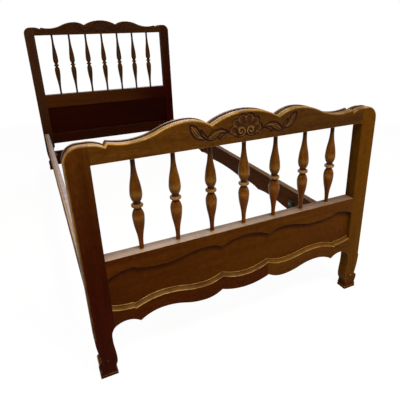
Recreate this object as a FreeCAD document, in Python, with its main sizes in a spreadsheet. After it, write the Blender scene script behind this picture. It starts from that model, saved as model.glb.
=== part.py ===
import FreeCAD, Part
import Sketcher
import math
import os

# A child's bed in walnut-stained hardwood: a low footboard and a tall headboard,
# each framed by two scroll-footed posts, with turned spindles under a shaped
# crest, joined by two side rails that hook into the posts.
# X runs across the bed, +Y from the foot to the head, +Z up. The origin is on
# the floor, under the middle of the bed. Sizes are in millimetres.

DOC = FreeCAD.newDocument("Bed")

# Driving sizes

SIZES = {
    # The bed base that the frame is built around
    "base_width": 900,
    "base_length": 2000,
    # Side rails, with a shaped lower edge
    "side_thickness": 27,
    "side_inset": 8,
    "side_floor_gap": 163,
    "side_height": 101,
    "side_cusp_rise": 2,
    "side_wave_rise": 12,
    # Posts and their scrolled feet
    "post_width": 60,
    "post_depth": 40,
    "post_corner_radius": 40,
    "ankle_cut": 11,
    "toe_neck_cut": 3,
    "pad_spread": 2,
    "leg_cut": 11,
    "calf_swell": 5,
    # Footboard, from the floor up
    "apron_floor_gap": 164,
    "apron_height": 58,
    "foot_panel_height": 109,
    "foot_middle_height": 56,
    "foot_spindle_height": 266,
    "crest_height": 50,
    # Headboard, from the floor up
    "low_rail_floor_gap": 28,
    "low_rail_height": 99,
    "low_rail_gap": 63,
    "bottom_rail_height": 70,
    "head_panel_height": 184,
    "head_middle_height": 86,
    "head_spindle_height": 383,
    # Panels, grooves and tenons, from the front of the boards backwards
    "panel_recess": 11,
    "panel_thickness": 12,
    "tenon_thickness": 10,
    "rail_back_lip": 3,
    "low_rail_front": 14,
    "low_rail_depth": 22,
    "groove_depth": 10,
    "panel_play": 1,
    "tenon_length": 30,
    "tenon_shoulder": 8,
    "crest_tenon_shoulder": 14,
    # Crest outline, above or below its outer ends
    "crest_centre_rise": 37,
    "crest_valley_rise": 8,
    "crest_hump_rise": 28,
    "crest_dip": 8,
    "crest_step_drop": 2,
    "crest_step": 9,
    # Moulded top of the crest: a bead in front, a groove, and a strip at the back
    "crest_arris_radius": 5,
    "crest_bead_width": 20,
    "crest_groove_depth": 4,
    "crest_strip_width": 8,
    # Shaped lower edge of the footboard's middle rail
    "middle_centre_rise": 27,
    "middle_cusp_rise": 6,
    "middle_hump_rise": 21,
    "middle_valley_rise": 3,
    "middle_step_rise": 12,
    "middle_step": 7,
    # Lower edge of the footboard's apron
    "apron_cusp_rise": 18,
    "apron_hump_rise": 23,
    "apron_centre_rise": 1,
    "apron_end_hump_rise": 16,
    "apron_end_rise": 4,
    # Top edge of the apron, and the cove that follows it
    "cove_hump_rise": 19,
    "cove_valley_rise": 3,
    "cove_step": 5,
    "cove_end_rise": 16,
    "cove_fillet": 2,
    "cove_lip": 1.5,
    # Turned spindles
    "spindle_margin": 104,
    "ring_radius": 16.3,
    "bead_radius": 4.5,
    "neck_radius": 9,
    "neck_rise": 9,
    "bulb_radius": 16.7,
    "bulb_rise": 33,
    "stem_radius": 6.3,
    "pin_radius": 4.5,
    "pin_length": 14,
    "hole_play": 0.1,
    "pin_hole_depth": 15,
    # Hook plates on the side rails, and slotted plates in the posts
    "plate_width": 16,
    "plate_height": 80,
    "plate_thickness": 3,
    "hook_width": 4,
    "hook_neck_height": 8,
    "hook_drop": 8,
    "hook_tip_depth": 5,
    "hook_spacing": 44,
    "hook_play": 0.5,
    "hook_room": 3,
    # Studs that carry the bed base
    "stud_radius": 17,
    "stud_thickness": 12,
    "stud_rise": 44,
    "stud_from_end": 341,
    "bolt_radius": 4,
    "bolt_depth": 14,
    "bolt_head_radius": 7,
    "bolt_head_height": 5,
    # How far a cut runs past the wood
    "overrun": 1,
}

# Places across a board, from its middle to its posts, as shares of half the opening

CREST_SHARES = (0.25, 0.4, 0.78, 0.892, 0.906)
MIDDLE_SHARES = (0.198, 0.318, 0.624, 0.807, 0.824)
APRON_SHARES = (0.202, 0.336, 0.652, 0.824, 0.918)
COVE_SHARES = (0.195, 0.341, 0.64, 0.845, 0.857)

# Places along a side rail, from its middle to its end, as shares of half its length

SIDE_SHARES = (0.197, 0.285, 0.366, 0.47, 0.65)

# Heights on the outer and the inner side of a leg, as shares of the leg's height

LEG_OUTER_SHARES = (0.863, 0.375, 0.238, 0.143, 0.083)
LEG_INNER_SHARES = (0.083, 0.19, 0.357, 0.726, 0.833)

# Spindles in each end of the bed, and where the swelling of one ends between its bulb and its tip

SPINDLE_COUNT = 7
TAPER_SHARE = 0.65

# A small quarter round is worked in this many flats

FLATS = 3

SHEET = DOC.addObject("Spreadsheet::Sheet", "Sizes")
for row, (alias, value) in enumerate(SIZES.items(), start=1):
    SHEET.set(f"A{row}", alias)
    SHEET.set(f"B{row}", str(value))
    SHEET.setAlias(f"B{row}", alias)
DOC.recompute()


class Size:
    """A length: its number, and how it comes from the driving sizes."""

    def __init__(self, number, text):
        self.number = number
        self.text = text

    def __add__(self, other):
        other = as_size(other)
        return Size(self.number + other.number, f"({self.text} + {other.text})")

    def __sub__(self, other):
        other = as_size(other)
        return Size(self.number - other.number, f"({self.text} - {other.text})")

    def __mul__(self, other):
        other = as_size(other)
        return Size(self.number * other.number, f"({self.text} * {other.text})")

    def __truediv__(self, other):
        other = as_size(other)
        return Size(self.number / other.number, f"({self.text} / {other.text})")

    def __neg__(self):
        return self * -1


def as_size(value):
    """A plain count or share as a Size."""
    if isinstance(value, Size):
        return value
    return Size(value, f"({value!r})")


def size(alias):
    """The driving size with this name."""
    return Size(SIZES[alias], f"Sizes.{alias}")


# Sizes that follow from the driving ones

ZERO = as_size(0)
BASE_HALF = size("base_width") / 2
SIDE_HALF = size("base_length") / 2
FRAME_HALF = BASE_HALF + size("side_thickness") + size("side_inset")
OPEN_HALF = FRAME_HALF - size("post_width")
LEG_HALF = OPEN_HALF + size("leg_cut")
FOOT_FACE = -SIDE_HALF - size("post_depth")
HEAD_FACE = SIDE_HALF

# Heights in the footboard

LEG_HEIGHT = size("apron_floor_gap") + size("apron_end_rise")
APRON_TOP = size("apron_floor_gap") + size("apron_height")
FOOT_MIDDLE_EDGE = APRON_TOP + size("foot_panel_height")
FOOT_SPINDLE_FOOT = FOOT_MIDDLE_EDGE + size("foot_middle_height")
FOOT_CREST_EDGE = FOOT_SPINDLE_FOOT + size("foot_spindle_height")
FOOT_TOP = FOOT_CREST_EDGE + size("crest_height")

# Heights in the headboard

LOW_RAIL_TOP = size("low_rail_floor_gap") + size("low_rail_height")
BOTTOM_RAIL_EDGE = LOW_RAIL_TOP + size("low_rail_gap")
BOTTOM_RAIL_TOP = BOTTOM_RAIL_EDGE + size("bottom_rail_height")
HEAD_MIDDLE_EDGE = BOTTOM_RAIL_TOP + size("head_panel_height")
HEAD_SPINDLE_FOOT = HEAD_MIDDLE_EDGE + size("head_middle_height")
HEAD_CREST_EDGE = HEAD_SPINDLE_FOOT + size("head_spindle_height")
HEAD_TOP = HEAD_CREST_EDGE + size("crest_height")

# Depths in both boards, and the panels' grooves

PANEL_BACK = size("panel_recess") + size("panel_thickness")
TENON_BACK = PANEL_BACK + size("tenon_thickness")
LOWER_RAIL_DEPTH = TENON_BACK + size("rail_back_lip")
SPINDLE_DEPTH = size("post_depth") / 2
FOOT_GROOVE_FLOOR = APRON_TOP - size("groove_depth")
FOOT_GROOVE_TOP = FOOT_MIDDLE_EDGE + size("middle_centre_rise") + size("groove_depth")
HEAD_GROOVE_FLOOR = BOTTOM_RAIL_TOP - size("groove_depth")
HEAD_GROOVE_TOP = HEAD_MIDDLE_EDGE + size("groove_depth")

# Side rails, their fittings, and the spindles

SIDE_TOP = size("side_floor_gap") + size("side_height")
SIDE_MIDDLE = BASE_HALF + size("side_thickness") / 2
PLATE_MIDDLE = size("side_floor_gap") + size("side_height") / 2
PLATE_HALF_WIDTH = size("plate_width") / 2
PLATE_HALF_HEIGHT = size("plate_height") / 2
STUD_HEIGHT = size("side_floor_gap") + size("stud_rise")
STUD_PLACE = SIDE_HALF - size("stud_from_end")
SPINDLE_END = OPEN_HALF - size("spindle_margin")
SPINDLE_PITCH = SPINDLE_END * 2 / (SPINDLE_COUNT - 1)
SPINDLE_PLACES = [SPINDLE_PITCH * number - SPINDLE_END for number in range(SPINDLE_COUNT)]
NODES = {}

# The arc that an edge becomes when its outline is followed the other way

TURNED = {"level_first": "level_last", "level_last": "level_first",
          "plumb_first": "plumb_last", "plumb_last": "plumb_first", "line": "line"}


# Drawing and building

def bind(item, path, length):
    """Tie one measure of a feature to the named sizes."""
    item.setExpression(path, as_size(length).text)


def place(item, spot):
    """Tie the place of a feature or sub-part to the named sizes."""
    for axis, length in zip("xyz", spot):
        bind(item, f"Placement.Base.{axis}", length)


def new_body(label):
    """An empty body, kept as the sub-part with this name."""
    body = DOC.addObject("PartDesign::Body", label)
    body.Label = label
    NODES[label] = body
    return body


def origin_feature(body, role):
    """The body's own origin plane or axis with this role."""
    return next(item for item in body.Origin.OriginFeatures if item.Role == role)


def arc_shape(start, end, kind):
    """Radius and centre of the arc that is level or plumb at its start or end."""
    run = end[0] - start[0]
    rise = end[1] - start[1]
    chord = run * run + rise * rise
    if kind.startswith("level"):
        side = math.copysign(1, rise.number)
        radius = chord / (rise * 2 * side)
        if kind == "level_first":
            return radius, (start[0].number, start[1].number + side * radius.number)
        return radius, (end[0].number, end[1].number - side * radius.number)
    side = math.copysign(1, run.number)
    radius = chord / (run * 2 * side)
    if kind == "plumb_first":
        return radius, (start[0].number + side * radius.number, start[1].number)
    return radius, (end[0].number - side * radius.number, end[1].number)


def add_edge(sketch, start, end, kind):
    """Add a line or an arc, and return its number and its first and last point."""
    first = FreeCAD.Vector(start[0].number, start[1].number, 0)
    last = FreeCAD.Vector(end[0].number, end[1].number, 0)
    if kind == "line":
        return sketch.addGeometry(Part.LineSegment(first, last), False), 1, 2
    radius, spot = arc_shape(start, end, kind)
    centre = FreeCAD.Vector(spot[0], spot[1], 0)
    circle = Part.Circle(centre, FreeCAD.Vector(0, 0, 1), radius.number)
    angles = [math.atan2(point.y - centre.y, point.x - centre.x) for point in (first, last)]
    turns_left = (first - centre).cross(last - centre).z > 0
    if not turns_left:
        angles.reverse()
    edge = sketch.addGeometry(Part.ArcOfCircle(circle, *angles), False)
    rule = sketch.addConstraint(Sketcher.Constraint("Radius", edge, radius.number))
    bind(sketch, f"Constraints[{rule}]", radius)
    return (edge, 1, 2) if turns_left else (edge, 2, 1)


def hold_point(sketch, edge, end, point):
    """Tie one end of an edge to its distances from the sketch's origin."""
    for kind, axis, length in (("DistanceX", -2, point[0]), ("DistanceY", -1, point[1])):
        if length.number == 0:
            sketch.addConstraint(Sketcher.Constraint("PointOnObject", edge, end, axis))
            continue
        points = (-1, 1, edge, end)
        if length.number < 0:
            points = (edge, end, -1, 1)
            length = -length
        rule = sketch.addConstraint(Sketcher.Constraint(kind, *points, length.number))
        bind(sketch, f"Constraints[{rule}]", length)


def new_sketch(body, name, plane):
    """An empty sketch on one of the body's own planes."""
    sketch = body.newObject("Sketcher::SketchObject", name)
    sketch.AttachmentSupport = [(origin_feature(body, plane), "")]
    sketch.MapMode = "FlatFace"
    return sketch


def draw_run(sketch, corners):
    """Edges from the first corner to the last, each of the kind that its end names."""
    edges = []
    for start, end in zip(corners, corners[1:]):
        edge, first, last = add_edge(sketch, start, end, end[2])
        if edges:
            sketch.addConstraint(Sketcher.Constraint("Coincident", *edges[-1], edge, first))
        else:
            hold_point(sketch, edge, first, start)
        hold_point(sketch, edge, last, end)
        edges.append((edge, last))


def draw_outline(sketch, corners):
    """A closed outline through the corners, each with the kind of edge that leads to it."""
    edges = []
    for start, end in zip([corners[-1], *corners], corners):
        edges.append((*add_edge(sketch, start, end, end[2]), end))
    for before, (edge, first, last, corner) in zip([edges[-1], *edges], edges):
        sketch.addConstraint(Sketcher.Constraint("Coincident", before[0], before[2], edge, first))
        hold_point(sketch, edge, last, corner)


def mirrored(half, x_sign=-1, z_sign=1):
    """A whole outline from its first half, which starts on the mirror line."""
    whole = [(half[0][0], half[0][1], TURNED[half[1][2]])] + half[1:]
    kind = "line"
    for x, z, next_kind in reversed(half[1:]):
        on_mirror_line = x.number * x_sign == x.number and z.number * z_sign == z.number
        if not on_mirror_line:
            whole.append((x * x_sign, z * z_sign, kind))
        kind = TURNED[next_kind]
    return whole


def ogee(start, end):
    """Two arcs between two points where the edge lies level."""
    middle = ((start[0] + end[0]) / 2, (start[1] + end[1]) / 2)
    return [(*middle, "level_first"), (*end, "level_last")]


def plumb_ogee(start, end):
    """Two arcs between two points where the edge stands plumb."""
    middle = ((start[0] + end[0]) / 2, (start[1] + end[1]) / 2)
    return [(*middle, "plumb_first"), (*end, "plumb_last")]


def board(body, plane, corners, depth):
    """Pad an outline into a board, backwards on XZ or sideways on YZ."""
    outline = new_sketch(body, "outline", plane)
    draw_outline(outline, corners)
    feature = body.newObject("PartDesign::Pad", "blank")
    feature.Profile = outline
    feature.Reversed = plane == "XZ_Plane"
    bind(feature, "Length", depth)
    DOC.recompute()


def moulding_cut(body, name, run, section, mode):
    """Cut a moulding along a run on XZ; the section gives depth and height from the run's start."""
    spine = new_sketch(body, f"{name}_run", "XZ_Plane")
    draw_run(spine, run)
    profile = new_sketch(body, f"{name}_section", "YZ_Plane")
    bind(profile, "AttachmentOffset.Base.z", run[0][0])
    draw_outline(profile, [(y, run[0][1] + z, kind) for y, z, kind in section])
    cut = body.newObject("PartDesign::SubtractivePipe", name)
    cut.Profile = profile
    cut.Spine = (spine, [])
    cut.Mode = mode
    DOC.recompute()


def whole_run(half):
    """An open run from the left end to the right, from its right half."""
    whole = mirrored(half)
    return whole[len(half):] + whole[:len(half)]


def quarter_round(centre, radius, first_angle, last_angle):
    """Corners of a quarter circle that is worked in flats."""
    corners = []
    for step in range(FLATS + 1):
        angle = math.radians(first_angle + (last_angle - first_angle) * step / FLATS)
        along_share = round(math.cos(angle), 6)
        up_share = round(math.sin(angle), 6)
        corners.append((centre[0] + radius * along_share, centre[1] + radius * up_share, "line"))
    return corners


def on_side(corners, side):
    """An outline drawn for the right of the bed, or its mirror image on the left."""
    return [(x * side, z, kind) for x, z, kind in corners]


def block(body, kind, name, low, high):
    """Add a box to the body between two corners, or cut it out."""
    feature = body.newObject(f"PartDesign::{kind}Box", name)
    for side, start, end in zip(("Length", "Width", "Height"), low, high):
        bind(feature, side, end - start)
    place(feature, low)
    DOC.recompute()


def side_block(body, kind, name, side, low, high):
    """A box on the right of the bed, or its mirror image on the left."""
    if side < 0:
        low, high = (-high[0], low[1], low[2]), (-low[0], high[1], high[2])
    block(body, kind, name, low, high)


def tenons(body, ends, front, low, high):
    """A tenon on each end of a rail that stands this far behind the posts' faces."""
    tip = OPEN_HALF + size("tenon_length") - size("panel_play")
    for side in (-1, 1):
        span = ((ends, PANEL_BACK - front, low), (tip, TENON_BACK - front, high))
        side_block(body, "Additive", "tenon", side, *span)


# The moulded top edge that runs over the posts and the crest rail

def arris_section():
    """What is cut off the front arris, as depth from the front and height from the top."""
    past = size("overrun")
    radius = size("crest_arris_radius")
    return [
        (-past, past, "line"),
        (radius, past, "line"),
        *quarter_round((radius, -radius), radius, 90, 180),
        (-past, -radius, "line"),
    ]


def groove_section():
    """What is cut out between the front bead and the strip at the back."""
    past = size("overrun")
    depth = size("crest_groove_depth")
    bead = size("crest_bead_width") - depth
    strip = size("post_depth") - size("crest_strip_width")
    return [
        (bead, past, "line"),
        *quarter_round((bead, -depth), depth, 90, 0),
        (strip, -depth, "line"),
        (strip, past, "line"),
    ]


# Posts

def post(label, side, face, top, mortises, groove):
    """A post with its scrolled foot; mortises and groove are height spans on its inner side."""
    body = new_body(label)
    outer = FRAME_HALF
    leg_top, ankle, toe, toe_neck, pad = [LEG_HEIGHT * share for share in LEG_OUTER_SHARES]
    pad_inner, heel, calf, calf_top, cut_top = [LEG_HEIGHT * share for share in LEG_INNER_SHARES]
    calf_point = (LEG_HALF - size("calf_swell"), calf)
    corner = [
        (outer - size("post_corner_radius"), top, "line"),
        (outer, top - size("post_corner_radius"), "level_first"),
    ]
    corners = [
        (OPEN_HALF, top, "line"),
        *corner,
        (outer, leg_top, "line"),
        (outer - size("ankle_cut"), ankle, "plumb_first"),
        (outer, toe, "plumb_last"),
        (outer - size("toe_neck_cut"), toe_neck, "plumb_first"),
        (outer, pad, "line"),
        (outer, ZERO, "line"),
        (LEG_HALF - size("pad_spread"), ZERO, "line"),
        (LEG_HALF - size("pad_spread"), pad_inner, "line"),
        (LEG_HALF, heel, "line"),
        (*calf_point, "plumb_last"),
        *plumb_ogee(calf_point, (LEG_HALF, calf_top)),
        (LEG_HALF, cut_top, "line"),
        (OPEN_HALF, LEG_HEIGHT, "plumb_first"),
    ]
    board(body, "XZ_Plane", on_side(corners, side), size("post_depth"))
    run = [(OPEN_HALF - size("overrun"), top, "line"), *corner]
    moulding_cut(body, "groove", on_side(run, side), groove_section(), "Standard")
    run.append((outer, leg_top, "line"))
    moulding_cut(body, "arris", on_side(run, side), arris_section(), "Standard")
    mortise_end = OPEN_HALF + size("tenon_length")
    for low, high in mortises:
        span = ((OPEN_HALF, PANEL_BACK, low), (mortise_end, TENON_BACK, high))
        side_block(body, "Subtractive", "mortise", side, *span)
    groove_end = OPEN_HALF + size("groove_depth")
    span = ((OPEN_HALF, size("panel_recess"), groove[0]), (groove_end, PANEL_BACK, groove[1]))
    side_block(body, "Subtractive", "panel_groove", side, *span)
    place(body, (ZERO, face, ZERO))
    return body


def plate_recess(body, side, face, inward):
    """Cut the seat of a slotted plate and the pocket behind it, inward from one face of a post."""
    room = size("hook_room")
    seat = face + size("plate_thickness") * inward
    floor = seat + (size("hook_tip_depth") + room) * inward
    recesses = (
        ("plate_seat", PLATE_HALF_WIDTH, PLATE_HALF_HEIGHT, seat),
        ("hook_pocket", size("hook_width") / 2 + room, PLATE_HALF_HEIGHT - room, floor),
    )
    for name, half_width, half_height, end in recesses:
        near, far = (face, end) if inward > 0 else (end, face)
        low = (SIDE_MIDDLE - half_width, near, PLATE_MIDDLE - half_height)
        high = (SIDE_MIDDLE + half_width, far, PLATE_MIDDLE + half_height)
        side_block(body, "Subtractive", name, side, low, high)


def foot_post(label, side):
    """A low post, with mortises for the crest, the middle rail and the apron."""
    shoulder = size("tenon_shoulder")
    mortises = [
        (FOOT_CREST_EDGE + shoulder, FOOT_TOP - size("crest_tenon_shoulder")),
        (FOOT_MIDDLE_EDGE + shoulder, FOOT_SPINDLE_FOOT - shoulder),
        (LEG_HEIGHT + shoulder, APRON_TOP - shoulder),
    ]
    body = post(label, side, FOOT_FACE, FOOT_TOP, mortises, (FOOT_GROOVE_FLOOR, FOOT_GROOVE_TOP))
    plate_recess(body, side, size("post_depth"), -1)


def head_post(label, side):
    """A tall post, whose leg is cut flat where the low rail meets it."""
    shoulder = size("tenon_shoulder")
    low_edge = size("low_rail_floor_gap")
    mortises = [
        (HEAD_CREST_EDGE + shoulder, HEAD_TOP - size("crest_tenon_shoulder")),
        (HEAD_MIDDLE_EDGE + shoulder, HEAD_SPINDLE_FOOT - shoulder),
        (BOTTOM_RAIL_EDGE + shoulder, BOTTOM_RAIL_TOP - shoulder),
        (low_edge + shoulder, LOW_RAIL_TOP - shoulder),
    ]
    body = post(label, side, HEAD_FACE, HEAD_TOP, mortises, (HEAD_GROOVE_FLOOR, HEAD_GROOVE_TOP))
    front = size("low_rail_front")
    low = (LEG_HALF - size("calf_swell"), front, low_edge)
    high = (LEG_HALF, front + size("low_rail_depth"), LOW_RAIL_TOP)
    side_block(body, "Subtractive", "rail_seat", side, low, high)
    plate_recess(body, side, ZERO, 1)


# Crest rails, shaped along the top

def crest(label, face, bottom):
    """A crest rail with its serpentine top, from the lower edge up."""
    top = bottom + size("crest_height")
    past = size("overrun")
    valley, hump, dip, step_top, step_foot = [OPEN_HALF * share for share in CREST_SHARES]
    hump_point = (hump, top + size("crest_hump_rise"))
    step = top - size("crest_step_drop")
    half = [
        (ZERO, top + size("crest_centre_rise"), "line"),
        (valley, top + size("crest_valley_rise"), "level_first"),
        (*hump_point, "level_last"),
        *ogee(hump_point, (dip, top - size("crest_dip"))),
        (step_top, step, "level_first"),
        (step_foot, step - size("crest_step"), "line"),
        (OPEN_HALF, top, "level_last"),
    ]
    body = new_body(label)
    board(body, "XZ_Plane", mirrored([*half, (OPEN_HALF, bottom, "line")]), size("post_depth"))
    run = whole_run([*half, (OPEN_HALF + past, top, "line")])
    moulding_cut(body, "groove", run, groove_section(), "Fixed")
    moulding_cut(body, "arris", run, arris_section(), "Fixed")
    shoulder = size("tenon_shoulder")
    tenons(body, OPEN_HALF, ZERO, bottom + shoulder, top - size("crest_tenon_shoulder"))
    spindle_holes(body, bottom)
    place(body, (ZERO, face, ZERO))


def spindle_holes(body, low):
    """Drill the row of blind holes for the spindles' pins."""
    hole = body.newObject("PartDesign::SubtractiveCylinder", "spindle_hole")
    bind(hole, "Radius", size("pin_radius") + size("hole_play"))
    bind(hole, "Height", size("pin_hole_depth"))
    place(hole, (SPINDLE_PLACES[0], SPINDLE_DEPTH, low))
    DOC.recompute()
    row = body.newObject("PartDesign::LinearPattern", "spindle_hole_row")
    row.Originals = [hole]
    row.Direction = (origin_feature(body, "X_Axis"), [""])
    row.Occurrences = SPINDLE_COUNT
    bind(row, "Length", SPINDLE_PLACES[-1] - SPINDLE_PLACES[0])
    body.Tip = row
    DOC.recompute()


# Middle rails, which carry the spindles and the top of the panel

def middle_rail(label, face, top, edge, half, groove_top):
    """A middle rail from its right half; edge is its lower edge at the posts."""
    body = new_body(label)
    board(body, "XZ_Plane", mirrored(half), size("post_depth"))
    low = (-OPEN_HALF, size("panel_recess"), edge - size("groove_depth"))
    block(body, "Subtractive", "panel_groove", low, (OPEN_HALF, PANEL_BACK, groove_top))
    shoulder = size("tenon_shoulder")
    tenons(body, OPEN_HALF, ZERO, edge + shoulder, top - shoulder)
    spindle_holes(body, top - size("pin_hole_depth"))
    place(body, (ZERO, face, ZERO))


def foot_middle_half():
    """Right half of the footboard's middle rail, scalloped below."""
    edge = FOOT_MIDDLE_EDGE
    cusp, hump, valley, step_foot, step_top = [OPEN_HALF * share for share in MIDDLE_SHARES]
    valley_point = (valley, edge + size("middle_valley_rise"))
    step = edge + size("middle_step_rise")
    return [
        (ZERO, FOOT_SPINDLE_FOOT, "line"),
        (OPEN_HALF, FOOT_SPINDLE_FOOT, "line"),
        (OPEN_HALF, edge, "line"),
        (step_top, step + size("middle_step"), "level_last"),
        (step_foot, step, "line"),
        (*valley_point, "level_last"),
        *ogee(valley_point, (hump, edge + size("middle_hump_rise"))),
        (cusp, edge + size("middle_cusp_rise"), "level_first"),
        (ZERO, edge + size("middle_centre_rise"), "level_last"),
    ]


def head_middle_half():
    """Right half of the headboard's middle rail, which is straight."""
    return [
        (ZERO, HEAD_SPINDLE_FOOT, "line"),
        (OPEN_HALF, HEAD_SPINDLE_FOOT, "line"),
        (OPEN_HALF, HEAD_MIDDLE_EDGE, "line"),
    ]


# Footboard apron, shaped along both edges

def apron_top_half():
    """Top edge of the apron, from its middle to the right post."""
    cusp, valley, hump, step_foot, step_top = [OPEN_HALF * share for share in COVE_SHARES]
    valley_point = (valley, APRON_TOP + size("cove_valley_rise"))
    return [
        (ZERO, APRON_TOP, "line"),
        (cusp, APRON_TOP + size("cove_hump_rise"), "level_first"),
        (*valley_point, "level_last"),
        *ogee(valley_point, (hump, APRON_TOP + size("cove_hump_rise"))),
        (step_foot, APRON_TOP, "level_first"),
        (step_top, APRON_TOP + size("cove_step"), "line"),
        (OPEN_HALF, APRON_TOP + size("cove_end_rise"), "level_first"),
    ]


def apron_low_half():
    """Lower edge of the apron, from the right post to its middle."""
    edge = size("apron_floor_gap")
    cusp, lobe, hump, end_cusp, end_hump = [OPEN_HALF * share for share in APRON_SHARES]
    hump_point = (hump, edge + size("apron_hump_rise"))
    return [
        (OPEN_HALF, LEG_HEIGHT, "line"),
        (end_hump, edge + size("apron_end_hump_rise"), "level_last"),
        (end_cusp, edge, "level_first"),
        (*hump_point, "level_last"),
        *ogee(hump_point, (lobe, edge)),
        (cusp, edge + size("apron_cusp_rise"), "level_first"),
        (ZERO, edge + size("apron_centre_rise"), "level_last"),
    ]


def cove_section():
    """What is cut off the apron's front for the cove, between a fillet above and a lip below."""
    past = size("overrun")
    fillet = size("cove_fillet")
    lip = size("cove_lip")
    back = size("panel_recess") - fillet
    radius = back - lip
    foot = fillet + radius + lip
    return [
        (-past, past, "line"),
        (back, past, "line"),
        *quarter_round((lip, -fillet), radius, 0, -90),
        (lip, -foot, "line"),
        (-past, -foot, "line"),
    ]


def apron(label, face):
    """The lowest rail of the footboard, with a cove along its shaped top."""
    body = new_body(label)
    top_half = apron_top_half()
    board(body, "XZ_Plane", mirrored([*top_half, *apron_low_half()]), LOWER_RAIL_DEPTH)
    end = (OPEN_HALF + size("overrun"), top_half[-1][1], "line")
    moulding_cut(body, "cove", whole_run([*top_half, end]), cove_section(), "Fixed")
    low = (-OPEN_HALF, size("panel_recess"), FOOT_GROOVE_FLOOR)
    groove_end = APRON_TOP + size("cove_hump_rise") + size("groove_depth")
    block(body, "Subtractive", "panel_groove", low, (OPEN_HALF, PANEL_BACK, groove_end))
    shoulder = size("tenon_shoulder")
    tenons(body, OPEN_HALF, ZERO, LEG_HEIGHT + shoulder, APRON_TOP - shoulder)
    place(body, (ZERO, face, ZERO))


# Plain rails of the headboard

def plain_rail(label, ends, front, depth, low, high):
    """A straight rail between the posts; front is how far it stands behind their faces."""
    body = new_body(label)
    half = [(ZERO, high, "line"), (ends, high, "line"), (ends, low, "line")]
    board(body, "XZ_Plane", mirrored(half), depth)
    shoulder = size("tenon_shoulder")
    tenons(body, ends, front, low + shoulder, high - shoulder)
    place(body, (ZERO, HEAD_FACE + front, ZERO))
    return body


def bottom_rail(label):
    """The rail that holds the lower edge of the headboard's panel."""
    body = plain_rail(label, OPEN_HALF, ZERO, LOWER_RAIL_DEPTH, BOTTOM_RAIL_EDGE, BOTTOM_RAIL_TOP)
    low = (-OPEN_HALF, size("panel_recess"), HEAD_GROOVE_FLOOR)
    block(body, "Subtractive", "panel_groove", low, (OPEN_HALF, PANEL_BACK, BOTTOM_RAIL_TOP))


# Panels

def panel(label, face, low, high):
    """A flat panel that stands in the grooves around it with a little play."""
    item = DOC.addObject("Part::Box", label)
    item.Label = label
    NODES[label] = item
    half = OPEN_HALF + size("groove_depth") - size("panel_play")
    bind(item, "Length", half * 2)
    bind(item, "Width", size("panel_thickness"))
    bind(item, "Height", high - low - size("panel_play") * 2)
    place(item, (-half, face + size("panel_recess"), low + size("panel_play")))


# Turned spindles

def spindle(label, x, face, low, high):
    """A spindle turned about its own axis, with a ring at half height and a pin at each end."""
    body = new_body(label)
    reach = (high - low) / 2
    tip = reach + size("pin_length")
    bead = size("bead_radius")
    bulb = (size("bulb_radius"), size("bulb_rise"))
    stem_rise = size("bulb_rise") + (reach - size("bulb_rise")) * TAPER_SHARE
    upper = [
        *quarter_round((size("ring_radius") - bead, ZERO), bead, 0, 90),
        (size("neck_radius"), size("neck_rise"), "line"),
        (*bulb, "plumb_last"),
        *plumb_ogee(bulb, (size("stem_radius"), stem_rise)),
        (size("stem_radius"), reach, "line"),
        (size("pin_radius"), reach, "line"),
        (size("pin_radius"), tip, "line"),
        (ZERO, tip, "line"),
    ]
    outline = new_sketch(body, "outline", "XZ_Plane")
    draw_outline(outline, mirrored(upper, x_sign=1, z_sign=-1))
    feature = body.newObject("PartDesign::Revolution", "turning")
    feature.Profile = outline
    feature.ReferenceAxis = (origin_feature(body, "Z_Axis"), [""])
    DOC.recompute()
    place(body, (x, face + SPINDLE_DEPTH, low + reach))


# Side rails

def side_rail(label, side):
    """A long rail, shaped below, with seats for the hook plates and holes for the studs' bolts."""
    body = new_body(label)
    cusp, hump, next_cusp, next_hump, wave_end = [SIDE_HALF * share for share in SIDE_SHARES]
    low = size("side_floor_gap")
    cusp_height = low + size("side_cusp_rise")
    hump_height = low + size("side_wave_rise")
    half = [
        (ZERO, SIDE_TOP, "line"),
        (SIDE_HALF, SIDE_TOP, "line"),
        (SIDE_HALF, low, "line"),
        (wave_end, low, "line"),
        *ogee((wave_end, low), (next_hump, hump_height)),
        (next_cusp, cusp_height, "level_first"),
        (hump, hump_height, "level_last"),
        (cusp, cusp_height, "level_first"),
        (ZERO, hump_height, "level_last"),
    ]
    board(body, "YZ_Plane", mirrored(half), size("side_thickness"))
    middle = size("side_thickness") / 2
    hole_start = ZERO if side > 0 else size("side_thickness") - size("bolt_depth")
    for end in (-1, 1):
        edges = [SIDE_HALF * end, (SIDE_HALF - size("plate_thickness")) * end]
        edges.sort(key=lambda edge: edge.number)
        start = (middle - PLATE_HALF_WIDTH, edges[0], PLATE_MIDDLE - PLATE_HALF_HEIGHT)
        stop = (middle + PLATE_HALF_WIDTH, edges[1], PLATE_MIDDLE + PLATE_HALF_HEIGHT)
        block(body, "Subtractive", "plate_seat", start, stop)
        hole = body.newObject("PartDesign::SubtractiveCylinder", "bolt_hole")
        bind(hole, "Radius", size("bolt_radius") + size("hole_play"))
        bind(hole, "Height", size("bolt_depth"))
        hole.Placement.Rotation = FreeCAD.Rotation(FreeCAD.Vector(0, 1, 0), 90)
        place(hole, (hole_start, STUD_PLACE * end, STUD_HEIGHT))
        DOC.recompute()
    inner = BASE_HALF if side > 0 else -BASE_HALF - size("side_thickness")
    place(body, (inner, ZERO, ZERO))


# Hook fittings

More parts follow.
